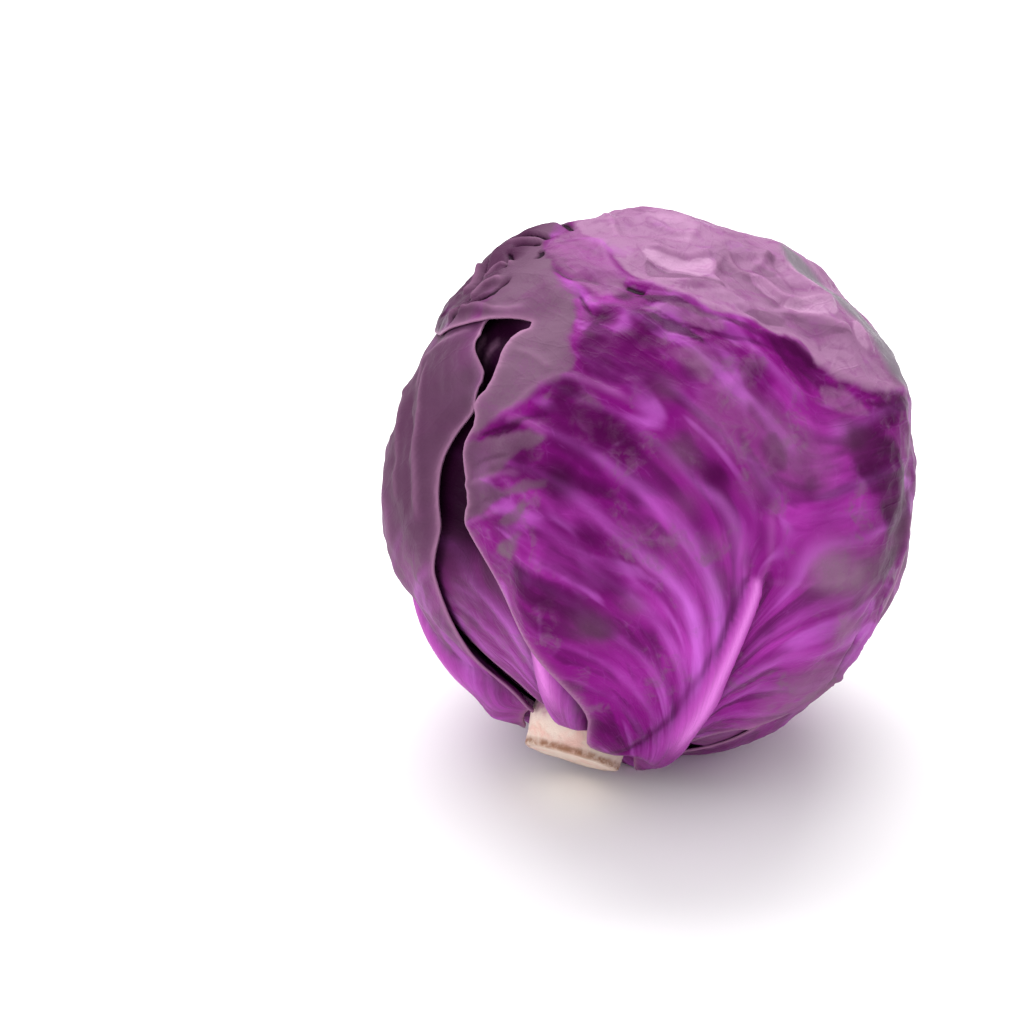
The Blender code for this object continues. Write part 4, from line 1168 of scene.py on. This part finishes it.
def leaf_skin_group():
    """The cabbage leaf's skin: pigment in streaks along the veins, a net of small veins, and waxy bloom, with painted
    highlight and painted shade where the masks ask for them.
    """
    known = bpy.data.node_groups.get("leaf_skin")
    if known:
        return known
    scalar, colour, vector = "NodeSocketFloat", "NodeSocketColor", "NodeSocketVector"
    tree, given, result = group_tree(
        "leaf_skin",
        [("Grain", vector), ("Place", vector), ("Bloom Amount", scalar)]
        + [(name.title(), scalar) for name in SKIN_MASKS]
        + [(name.title() + " Colour", colour) for name in SKIN_COLOURS],
        [("Color", colour), ("Roughness", scalar), ("Height", scalar)],
    )
    wire = Wiring(tree)
    i = {socket.name: socket for socket in given.outputs}
    grain, place = i["Grain"], i["Place"]
    long_grain = wire.stretched(grain, (1.0, 0.30, 1.0))
    streak = wire.noise(long_grain, 240, 3, 0.55, 0.4)
    broad_streak = wire.noise(long_grain, 80, 2, 0.5, 0.3)
    swirl = wire.noise(wire.stretched(grain, (1.0, 0.5, 1.0)), 92, 2, 0.5, 0.5)
    blotch = wire.noise(place, 70, 5, 0.62, 0.5)
    dapple = wire.noise(place, 190, 4, 0.6, 0.6)
    speck = wire.noise(place, 1500, 2, 0.6)
    bent = wire.sum(grain, wire.stretched(wire.noises(place, 60), (0.006, 0.006, 0.0)))
    net = wire.cells(wire.stretched(bent, (1.0, 0.62, 1.0)), 105)
    fine_net = wire.cells(wire.stretched(bent, (1.0, 0.8, 1.0)), 310)
    net_line = wire.between(net, 0.0, 0.055, 1.0, 0.0)
    net_shown = wire.times(net_line, wire.between(blotch, 0.42, 0.66))
    fine_line = wire.times(wire.between(fine_net, 0.0, 0.09, 1.0, 0.0), wire.between(dapple, 0.45, 0.7))

    # the pigment, brighter near the midrib and darker in streaks, with painted shade in dips, creases and gaps where
    # the Dusk mask lies
    glow = wire.times(i["Glow"], wire.between(streak, 0.25, 0.62, 0.45, 1.0), clamp=True)
    body = wire.blend(glow, i["Blade Colour"], i["Glow Colour"])
    dark = wire.times(wire.between(broad_streak, 0.58, 0.40), 0.38)
    dusk = wire.times(i["Dusk"], wire.between(broad_streak, 0.66, 0.42, 0.60, 1.0))
    dark = wire.math("MAXIMUM", dark, dusk)
    dark = wire.math("SUBTRACT", dark, wire.times(wire.between(streak, 0.5, 0.72), 0.15), clamp=True)
    body = wire.blend(dark, body, i["Dusk Colour"])
    body = wire.blend(wire.times(wire.between(swirl, 0.47, 0.34), 0.55), body, i["Dusk Colour"])

    # the veins and the net between them, which the dark places nearly hide
    open_pigment = wire.between(i["Dusk"], 0.3, 0.95, 1.0, 0.18)
    swirl_light = wire.times(wire.between(swirl, 0.53, 0.70), open_pigment)
    body = wire.blend(wire.times(swirl_light, 0.42), body, i["Vein Colour"])
    lit_vein = wire.times(i["Vein"], wire.between(streak, 0.2, 0.6, 0.55, 1.0), clamp=True)
    lit_vein = wire.times(lit_vein, wire.between(i["Dusk"], 0.4, 1.0, 0.9, 0.35))
    body = wire.blend(lit_vein, body, i["Vein Colour"])
    for line, strength in ((net_shown, 0.09), (fine_line, 0.07)):
        body = wire.blend(wire.times(line, strength, open_pigment), body, i["Vein Colour"])

    # the waxy bloom, in the marked patches and in small marks elsewhere
    mottle = wire.times(wire.between(blotch, 0.50, 0.66), wire.between(dapple, 0.38, 0.60), open_pigment)
    bloom = wire.times(i["Wax"], wire.between(blotch, 0.28, 0.56, 0.75, 1.0))
    bloom = wire.math("MULTIPLY_ADD", mottle, 0.56, bloom)
    bare_rib = wire.math("SUBTRACT", 1.0, wire.times(i["Rib"], 0.9))
    bloom = wire.times(bloom, bare_rib, i["Bloom Amount"], wire.between(speck, 0.3, 0.6, 0.86, 1.0), clamp=True)
    body = wire.blend(bloom, body, i["Wax Colour"])
    # painted shade: bloom darkened to the shade colour where the Dusk mask lies over it
    body = wire.blend(wire.times(i["Wax"], i["Dusk"], 0.95, clamp=True), body, i["Shade Colour"])

    # the pale crown, partly its own paler skin and partly a painted highlight from the light above; painted highlight
    # and painted shade on its facets; and its grey far side, a painted reflection over waxy bloom
    pale = wire.times(i["Pale"], wire.between(dapple, 0.30, 0.55, 0.62, 1.0), clamp=True)
    body = wire.blend(wire.times(pale, 0.92), body, i["Pale Colour"])
    lighter = wire.times(wire.between(i["Facet"], 0.10, 0.90), wire.times(pale, 0.75))
    body = wire.blend(lighter, body, i["Shine Colour"])
    darker = wire.times(wire.between(i["Facet"], -0.1, -0.7), wire.math("MULTIPLY_ADD", pale, 0.34, 0.12))
    body = wire.blend(darker, body, i["Shade Colour"])
    body = wire.blend(i["Grey"], body, i["Grey Colour"])

    # the midrib with a painted highlight along its crest, painted shade nearly black in the deep creases and gaps,
    # and the thin margin, paler of itself, with a painted highlight on drawn ridges
    rib_tint = wire.times(i["Rib"], wire.between(streak, 0.25, 0.6, 0.75, 1.0), clamp=True)
    body = wire.blend(wire.times(rib_tint, 0.85), body, i["Glow Colour"])
    body = wire.blend(wire.times(rib_tint, 0.12), body, i["Rib Colour"])
    body = wire.blend(wire.times(i["Crest"], 0.9, clamp=True), body, i["Rib Colour"])
    body = wire.blend(wire.times(wire.between(i["Dusk"], 1.0, 1.5), 0.94), body, i["Deep Colour"])
    body = wire.blend(wire.times(i["Rim"], 0.8, clamp=True), body, i["Rim Colour"])

    rough = wire.math("MULTIPLY_ADD", bloom, 0.20, 0.36)
    rough = wire.math("MULTIPLY_ADD", wire.between(dapple, 0.3, 0.7), 0.08, rough)
    height = wire.times(net_line, 0.00006)
    fine_ridge = wire.between(fine_net, 0.0, 0.12, 1.0, 0.0)
    for pattern, rise in ((fine_ridge, 0.000035), (streak, 0.00016), (dapple, 0.00016), (speck, 0.000006)):
        height = wire.math("MULTIPLY_ADD", pattern, rise, height)
    for socket, value in zip(result.inputs, (body, rough, height)):
        tree.links.new(value, socket)
    return tree


def leaf_material(name, tone, looks):
    """A waxy leaf in the tone's colours."""
    made, wire, shader = new_material(name)
    skin = wire.add("ShaderNodeGroup", node_tree=leaf_skin_group())
    for attribute in ("grain", *SKIN_MASKS):
        node = wire.add("ShaderNodeAttribute", attribute_name=attribute)
        wire.feed(skin.inputs[attribute.title()], node.outputs["Vector" if attribute == "grain" else "Fac"])
    wire.feed(skin.inputs["Place"], wire.add("ShaderNodeTexCoord").outputs["Object"])
    for socket, value in tone.items():
        skin.inputs[socket].default_value = (*value, 1)
    skin.inputs["Bloom Amount"].default_value = looks.bloom
    wire.finish(shader, skin.outputs["Color"], skin.outputs["Roughness"], skin.outputs["Height"])
    shader.inputs["Specular IOR Level"].default_value = LEAF_SPECULAR
    shader.inputs["Coat Weight"].default_value = 0.0
    return made


def tone_of(looks, paler=0.0, duller=0.0):
    """The leaf colours, made paler or duller for another leaf, apart from the painted shade of its deep creases."""

    def mixed(colour, target, share):
        return tuple(c + (t - c) * share for c, t in zip(colour, target))

    pale, dull = tuple(looks.pale_colour), tuple(looks.wax_colour)
    tone = {name: tuple(getattr(looks, name + "_colour")) for name in SKIN_COLOURS}
    for name, value in tone.items():
        if name != "deep":
            tone[name] = mixed(mixed(value, pale, paler), dull, duller)
    return {name.title() + " Colour": value for name, value in tone.items()}


class LeafSizes(bpy.types.PropertyGroup):
    veins: FloatProperty(
        name="Vein height", description="How far the side veins stand out, times their usual height",
        default=1.0, min=0.0, max=2.0,
    )
    crinkle: FloatProperty(
        name="Crinkle", description="How crumpled the blades are, times the usual", default=1.0, min=0.0, max=2.0
    )
    detail: FloatProperty(
        name="Mesh step", description="Distance between mesh points, times the usual", default=1.0, min=0.6, max=4.0
    )


def panel_colour(name, description, *default):
    """A colour that can be changed in the panel."""
    return FloatVectorProperty(name=name, description=description, subtype="COLOR", size=3, default=default)


class LeafLooks(bpy.types.PropertyGroup):
    blade_colour: panel_colour("Blade", "Pigment of the open blade", 0.200, 0.003, 0.175)
    # painted shade in dips, creases and gaps, and dark pigment in streaks
    dusk_colour: panel_colour("Dusk", "Darkest pigment, in dips and streaks", 0.046, 0.0004, 0.035)
    glow_colour: panel_colour("Glow", "Brightest pigment, near the midrib", 0.40, 0.035, 0.375)
    # also the painted highlight on the crests of drawn ridges
    vein_colour: panel_colour("Veins", "Side veins", 0.60, 0.145, 0.67)
    # the midrib's own paler tint, and the painted highlight along its crest
    rib_colour: panel_colour("Midrib", "The midrib", 0.76, 0.225, 0.73)
    wax_colour: panel_colour("Bloom", "Waxy bloom over the pigment", 0.175, 0.088, 0.150)
    # partly a painted highlight from the light above
    pale_colour: panel_colour("Pale crown", "The paler skin over the crown", 0.315, 0.148, 0.278)
    # painted shade, nearly black, in creases and gaps
    deep_colour: panel_colour("Creases", "Nearly black purple, deep in creases and gaps", 0.014, 0.0005, 0.011)
    # painted reflection of the light at a grazing angle, over waxy bloom
    grey_colour: panel_colour("Grey crown", "Dull grey skin at the crown's far side", 0.215, 0.175, 0.215)
    # painted highlight on the crown's facets
    shine_colour: panel_colour("Bright facets", "Facets of the crown that catch the light", 0.48, 0.26, 0.43)
    # painted shade on the crown's facets, and on bloom where the Dusk mask lies
    shade_colour: panel_colour("Dull facets", "Facets that turn away", 0.068, 0.017, 0.054)
    # the margin's own paler edge, and the painted highlight on drawn ridges
    rim_colour: panel_colour("Margin", "Thin edge of the leaf", 0.42, 0.20, 0.35)
    stem_colour: panel_colour("Stem", "The cut stem", 0.80, 0.66, 0.56)
    bloom: FloatProperty(
        name="Bloom amount", description="How much waxy bloom is left on the leaves", default=1.0, min=0.0, max=1.5
    )


class StudioSettings(bpy.types.PropertyGroup):
    overhead: FloatProperty(
        name="Overhead light", description="Power of the large light above and behind", unit="POWER", default=22.0
    )
    fill: FloatProperty(
        name="Fill light", description="Power of the soft light at the left front", unit="POWER", default=8.0
    )
    room: FloatProperty(name="Room light", description="Brightness of the room", default=0.95, min=0.0)
    sheen: FloatProperty(
        name="Room reflected", description="Brightness of the room as the leaves reflect it", default=0.12, min=0.0
    )


class CabbageSettings(bpy.types.PropertyGroup):
    sizes: PointerProperty(type=LeafSizes)
    looks: PointerProperty(type=LeafLooks)
    studio: PointerProperty(type=StudioSettings)


def place_piece(mesh, material, slot, *nodes):
    """An object for the mesh that stands for the CAD nodes."""
    made = bpy.data.objects.new(mesh.name, mesh)
    bpy.context.scene.collection.objects.link(made)
    mesh.materials.append(material)
    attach(made, "root")
    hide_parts(*nodes)
    return made


def set_edges():
    """Lays each leaf's outline flat as an even loop."""
    for leaf in LEAVES:
        points = np.array(leaf.outline, float)
        flat = leaf.flat(along(points[:, 0], points[:, 1] + leaf.rib_turn(points[:, 0])))
        leaf.edge = spaced(smooth_line(flat, 12, closed=True), 0.0035, closed=True)


def make_leaf(context, number, slot, **tone):
    """Builds one leaf as a closed shell with its masks, and gives it its material."""
    chosen = settings(context)
    leaf = LEAVES[number]
    if leaf.edge is None:
        set_edges()
    flat, triangles = flat_mesh(leaf, chosen.sizes.detail)
    inner, outer, masks, grain = leaf_faces(leaf, LEAVES[:number], LEAVES[number + 1 :], flat, chosen.sizes)
    mesh = closed_shell(leaf.name + "_blade", to_table(inner), to_table(outer), triangles)
    for name, values in masks.items():
        store(mesh, name, np.concatenate([values, values]))
    store(mesh, "grain", np.vstack([grain, grain]), "FLOAT_VECTOR")
    material = leaf_material(leaf.name, tone_of(chosen.looks, **tone), chosen.looks)
    return place_piece(mesh, material, slot, leaf.name)


class CABBAGE_OT_front_leaf(bpy.types.Operator):
    """Add the outermost leaf, with its stout midrib and the notch at the upper left"""

    bl_idname = "cabbage.front_leaf"
    bl_label = "Front Leaf"

    def execute(self, context):
        make_leaf(context, 4, "front_leaf")
        return {"FINISHED"}


class CABBAGE_OT_wrapper_leaves(bpy.types.Operator):
    """Add the wrapper leaves that show at the left, the right and the back"""

    bl_idname = "cabbage.wrapper_leaves"
    bl_label = "Wrapper Leaves"

    def execute(self, context):
        make_leaf(context, 3, "wrapper_leaf_left", duller=0.12)
        make_leaf(context, 2, "wrapper_leaf_right", duller=0.10)
        return {"FINISHED"}


class CABBAGE_OT_inner_leaves(bpy.types.Operator):
    """Add the leaves that close the head over the crown"""

    bl_idname = "cabbage.inner_leaves"
    bl_label = "Inner Leaves"

    def execute(self, context):
        make_leaf(context, 1, "inner_leaf", paler=0.12)
        make_leaf(context, 0, "inner_leaf", paler=0.12)
        return {"FINISHED"}


class CABBAGE_OT_heart(bpy.types.Operator):
    """Add the tight inner leaves as one body"""

    bl_idname = "cabbage.heart"
    bl_label = "Heart"

    def execute(self, context):
        chosen = settings(context)
        ball = bmesh.new()
        bmesh.ops.create_icosphere(ball, subdivisions=6, radius=1.0)
        mesh = bpy.data.meshes.new("heart_body")
        ball.to_mesh(mesh)
        ball.free()
        ways = np.array([v.co[:] for v in mesh.vertices])
        ways /= np.linalg.norm(ways, axis=1)[:, None]
        margin, depth = HOLLOW_IN_HEART
        radius = head_form(ways) - HEART_CLEARANCE - depth * hollow(ways, margin)
        height, turn = places(ways)
        folds = np.cos(np.radians(7 * turn + 30 * np.sin(np.radians(height * 3))))
        radius -= 0.0007 * (1 - folds) * ease((40 - height) / 20)
        towards_stem = -ways[:, 2]
        radius = np.minimum(radius, np.where(towards_stem > 0.5, STEM_SEAT / np.maximum(towards_stem, 0.5), 1))
        mesh.vertices.foreach_set("co", to_table(ways * radius[:, None]).astype(np.float32).ravel())
        mesh.shade_smooth()
        ribs = ease((folds - 0.1) / 0.8) * ease((34 - height) / 14)
        plain = 0 * ribs
        masks = dict.fromkeys(SKIN_MASKS, plain)
        # painted highlight on the heart's folds and painted shade between them
        masks |= {"vein": 0.4 * ribs, "rib": ribs, "crest": 0.5 * ribs, "wax": 0.2 + plain, "dusk": 0.6 * (1 - ribs)}
        for name, values in masks.items():
            store(mesh, name, values)
        grain = np.stack([np.radians(turn) * 0.03, np.radians(height) * 0.075, 0 * turn], axis=-1)
        store(mesh, "grain", grain, "FLOAT_VECTOR")
        material = leaf_material("heart", tone_of(chosen.looks, paler=0.25), chosen.looks)
        place_piece(mesh, material, "heart", "heart")
        return {"FINISHED"}


def stem_material(looks):
    """A cut cabbage stem: pale and moist in the middle, stringy at the side, browned where it dried."""
    made, wire, shader = new_material("stem")
    place = wire.add("ShaderNodeTexCoord").outputs["Object"]
    depth = wire.add("ShaderNodeAttribute", attribute_name="cut").outputs["Fac"]
    ring = wire.add("ShaderNodeAttribute", attribute_name="ring").outputs["Fac"]
    fibre = wire.noise(place, 420, 4, 0.6, 0.2)
    stain = wire.noise(place, 130, 5, 0.6, 0.6)
    body = wire.blend(wire.between(stain, 0.45, 0.7), (*looks.stem_colour, 1), STEM_STAIN)
    dried = wire.times(wire.between(ring, 0.80, 1.0), wire.between(fibre, 0.35, 0.6, 0.5, 1.0))
    body = wire.blend(dried, body, STEM_DRIED)
    neck = wire.times(wire.between(depth, 0.6, 0.1), wire.between(stain, 0.35, 0.6, 0.3, 0.85))
    body = wire.blend(neck, body, STEM_NECK)
    height = wire.math("MULTIPLY_ADD", stain, 0.0006, wire.times(fibre, 0.0003))
    wire.finish(shader, body, wire.between(fibre, 0.3, 0.7, 0.55, 0.75), height)
    shader.inputs["Specular IOR Level"].default_value = STEM_SPECULAR
    return made


class CABBAGE_OT_stem(bpy.types.Operator):
    """Add the cut stem, with its rough dried rim"""

    bl_idname = "cabbage.stem"
    bl_label = "Stem"

    def execute(self, context):
        sides, profile = STEM_SIDES, []
        for step in range(40):
            share = step / 39
            depth = STEM_SEAT + STEM_GAP + share * (STEM_END - STEM_CHAMFER - STEM_SEAT - STEM_GAP)
            width = np.interp(
                depth, (STEM_SEAT, STEM_SEAT + 0.005, STEM_END - 0.004),
                (STEM_NECK_RADIUS, STEM_RADIUS, STEM_FOOT_RADIUS),
            )
            profile.append((depth, width, share, 0.80 + 0.20 * ease((share - 0.8) / 0.2)))
        for step in range(1, 7):
            bend = math.radians(15 * step)
            profile.append((
                STEM_END - STEM_CHAMFER * (1 - math.sin(bend)),
                STEM_FOOT_RADIUS - STEM_CHAMFER * (1 - math.cos(bend)), 1.0, 1.0 - 0.02 * step,
            ))
        for step in range(1, 24):
            width = (STEM_FOOT_RADIUS - STEM_CHAMFER) * (1 - step / 24)
            profile.append((STEM_END, width, 1.0, width / STEM_FOOT_RADIUS))
        rows = np.array(profile)
        angle = np.tile(2 * np.pi * np.arange(sides) / sides, (len(rows), 1))
        depth, width, cut, ring = (np.tile(rows[:, k : k + 1], (1, sides)) for k in range(4))
        wobble = 1 + 0.02 * np.sin(5 * angle + 0.7) + 0.015 * np.sin(3 * angle)
        around = np.stack([np.cos(angle) * width * 90, np.sin(angle) * width * 90, depth * 25], axis=-1)
        rough = rough_field(around.reshape(-1, 3), 1.0, 2, 4).reshape(depth.shape)
        width = width * wobble * (1 - 0.016 * np.abs(rough) * (ring > 0.97))
        depth = depth - 0.0004 * np.abs(rough) * (cut > 0.99) * (ring < 0.97)
        points = np.stack([width * np.cos(angle), width * np.sin(angle), -depth], axis=-1).reshape(-1, 3)
        points = np.vstack([points, [(0, 0, -STEM_END), (0, 0, -(STEM_SEAT + STEM_GAP))]])
        faces, tip, seat = [], len(points) - 2, len(points) - 1
        last = (len(rows) - 1) * sides
        for side in range(sides):
            turned = (side + 1) % sides
            for row in range(len(rows) - 1):
                a, b = row * sides + side, row * sides + turned
                faces.append((a, a + sides, b + sides, b))
            faces.append((last + side, tip, last + turned))
            faces.append((seat, side, turned))
        mesh = bpy.data.meshes.new("stem_stump")
        mesh.from_pydata(to_table(points).tolist(), [], faces)
        mesh.shade_smooth()
        store(mesh, "cut", np.append(cut.ravel(), (1.0, 0.0)))
        store(mesh, "ring", np.append(ring.ravel(), (0.0, 0.0)))
        place_piece(mesh, stem_material(settings(context).looks), "stem", "stem")
        return {"FINISHED"}


# The camera shows a radius of 80 mm round the middle of the head as this many pixels of the frame
CAMERA_DISTANCE = 0.90
HEAD_RADIUS = 0.080
HEAD_PIXELS = 272.0
HEAD_AT = (650.0, 483.0)
FRAME_PIXELS = 1024.0


class CABBAGE_OT_studio(bpy.types.Operator):
    """Add the pale floor, the soft lights and the camera"""

    bl_idname = "cabbage.studio"
    bl_label = "Studio"

    def execute(self, context):
        studio = settings(context).studio
        self.add_floor()
        self.add_light("overhead_softbox", (-0.10, 0.75, 1.15), (0, 0, 0.08), (1.5, 1.0), studio.overhead, True)
        self.add_light("left_fill", (-1.2, -1.1, 0.9), (0, 0, 0.07), (1.2, 1.2), studio.fill, False)
        self.add_room(studio.room, studio.sheen)
        self.add_camera()
        context.scene.view_settings.view_transform = "Standard"
        context.scene.view_settings.look = "None"
        context.scene.view_settings.exposure = 0.0
        return {"FINISHED"}

    def add_floor(self):
        ring, points, faces = 96, [(0, 0, 0)], []
        for radius in (0.4, 1.2, 6.0):
            points += [
                (radius * math.cos(2 * math.pi * k / ring), radius * math.sin(2 * math.pi * k / ring), 0)
                for k in range(ring)
            ]
        for k in range(ring):
            faces.append((0, 1 + k, 1 + (k + 1) % ring))
            for row in (0, 1):
                a, b = 1 + row * ring + k, 1 + row * ring + (k + 1) % ring
                faces.append((a, a + ring, b + ring, b))
        mesh = bpy.data.meshes.new("floor")
        mesh.from_pydata(points, [], faces)
        made, _, shader = new_material("floor")
        shader.inputs["Base Color"].default_value = (0.90, 0.90, 0.90, 1)
        shader.inputs["Roughness"].default_value = 0.9
        shader.inputs["Specular IOR Level"].default_value = 0.0
        mesh.materials.append(made)
        floor = bpy.data.objects.new("floor", mesh)
        floor.location = (0, 0, -0.0002)
        bpy.context.scene.collection.objects.link(floor)

    def add_light(self, name, at, aim, size, power, glossy):
        light = bpy.data.lights.new(name, "AREA")
        light.shape = "RECTANGLE"
        light.size, light.size_y = size
        light.energy = power
        made = bpy.data.objects.new(name, light)
        made.location = at
        made.rotation_euler = (Vector(aim) - Vector(at)).to_track_quat("-Z", "Y").to_euler()
        made.visible_glossy = glossy
        bpy.context.scene.collection.objects.link(made)

    def add_room(self, brightness, reflected):
        world = bpy.data.worlds.new("room")
        world.use_nodes = True
        bpy.context.scene.world = world
        wire = Wiring(world.node_tree)
        background = world.node_tree.nodes["Background"]
        rays = wire.add("ShaderNodeLightPath").outputs
        background.inputs["Color"].default_value = (1, 1, 1, 1)
        strength = wire.between(rays["Is Glossy Ray"], 0, 1, brightness, reflected, smooth=False)
        strength = wire.between(rays["Is Camera Ray"], 0, 1, strength, 1.0, smooth=False)
        wire.feed(background.inputs["Strength"], strength)

    def add_camera(self):
        camera = bpy.data.cameras.new("camera")
        camera.sensor_width = 36.0
        focal = HEAD_PIXELS / HEAD_RADIUS * CAMERA_DISTANCE
        camera.lens = focal / FRAME_PIXELS * camera.sensor_width
        camera.clip_start = 0.01
        elevation = math.radians(FRONT_ELEVATION)
        head = Vector((0, 0, REST_DISTANCE))
        back = Vector((0, -math.cos(elevation), math.sin(elevation)))
        up = Vector((0, math.sin(elevation), math.cos(elevation)))
        right = Vector((1, 0, 0))
        over = math.atan((HEAD_AT[0] - FRAME_PIXELS / 2) / focal)
        rise = math.atan((FRAME_PIXELS / 2 - HEAD_AT[1]) / focal)
        forward = -back - math.tan(over) * right - math.tan(rise) * up
        forward.normalize()
        side = forward.cross(Vector((0, 0, 1))).normalized()
        above = side.cross(forward)
        turned = Matrix((side, above, -forward)).transposed().to_4x4()
        made = bpy.data.objects.new("camera", camera)
        made.matrix_world = Matrix.Translation(head + CAMERA_DISTANCE * back) @ turned
        bpy.context.scene.collection.objects.link(made)
        bpy.context.scene.camera = made


STEPS = (
    CABBAGE_OT_front_leaf, CABBAGE_OT_wrapper_leaves, CABBAGE_OT_inner_leaves,
    CABBAGE_OT_heart, CABBAGE_OT_stem, CABBAGE_OT_studio,
)


class CABBAGE_PT_panel(bpy.types.Panel):
    """Lists the pieces of the head and what can be changed on them"""

    bl_label = "Red Cabbage Head"
    bl_idname = "CABBAGE_PT_panel"
    bl_space_type = "VIEW_3D"
    bl_region_type = "UI"
    bl_category = "Cabbage"

    def draw(self, context):
        chosen = settings(context)
        for group in (chosen.sizes, chosen.looks, chosen.studio):
            box = self.layout.box()
            for name in group.__annotations__:
                box.prop(group, name)
        for step in STEPS:
            self.layout.operator(step.bl_idname)


CLASSES = (LeafSizes, LeafLooks, StudioSettings, CabbageSettings, *STEPS, CABBAGE_PT_panel)


def register():
    for item in CLASSES:
        bpy.utils.register_class(item)
    bpy.types.Scene.cabbage_head = PointerProperty(type=CabbageSettings)


def unregister():
    del bpy.types.Scene.cabbage_head
    for item in reversed(CLASSES):
        bpy.utils.unregister_class(item)


def main():
    register()
    bpy.ops.cabbage.studio()
    bpy.ops.cabbage.front_leaf()
    bpy.ops.cabbage.wrapper_leaves()
    bpy.ops.cabbage.inner_leaves()
    bpy.ops.cabbage.heart()
    bpy.ops.cabbage.stem()


if __name__ == "__main__":
    main()
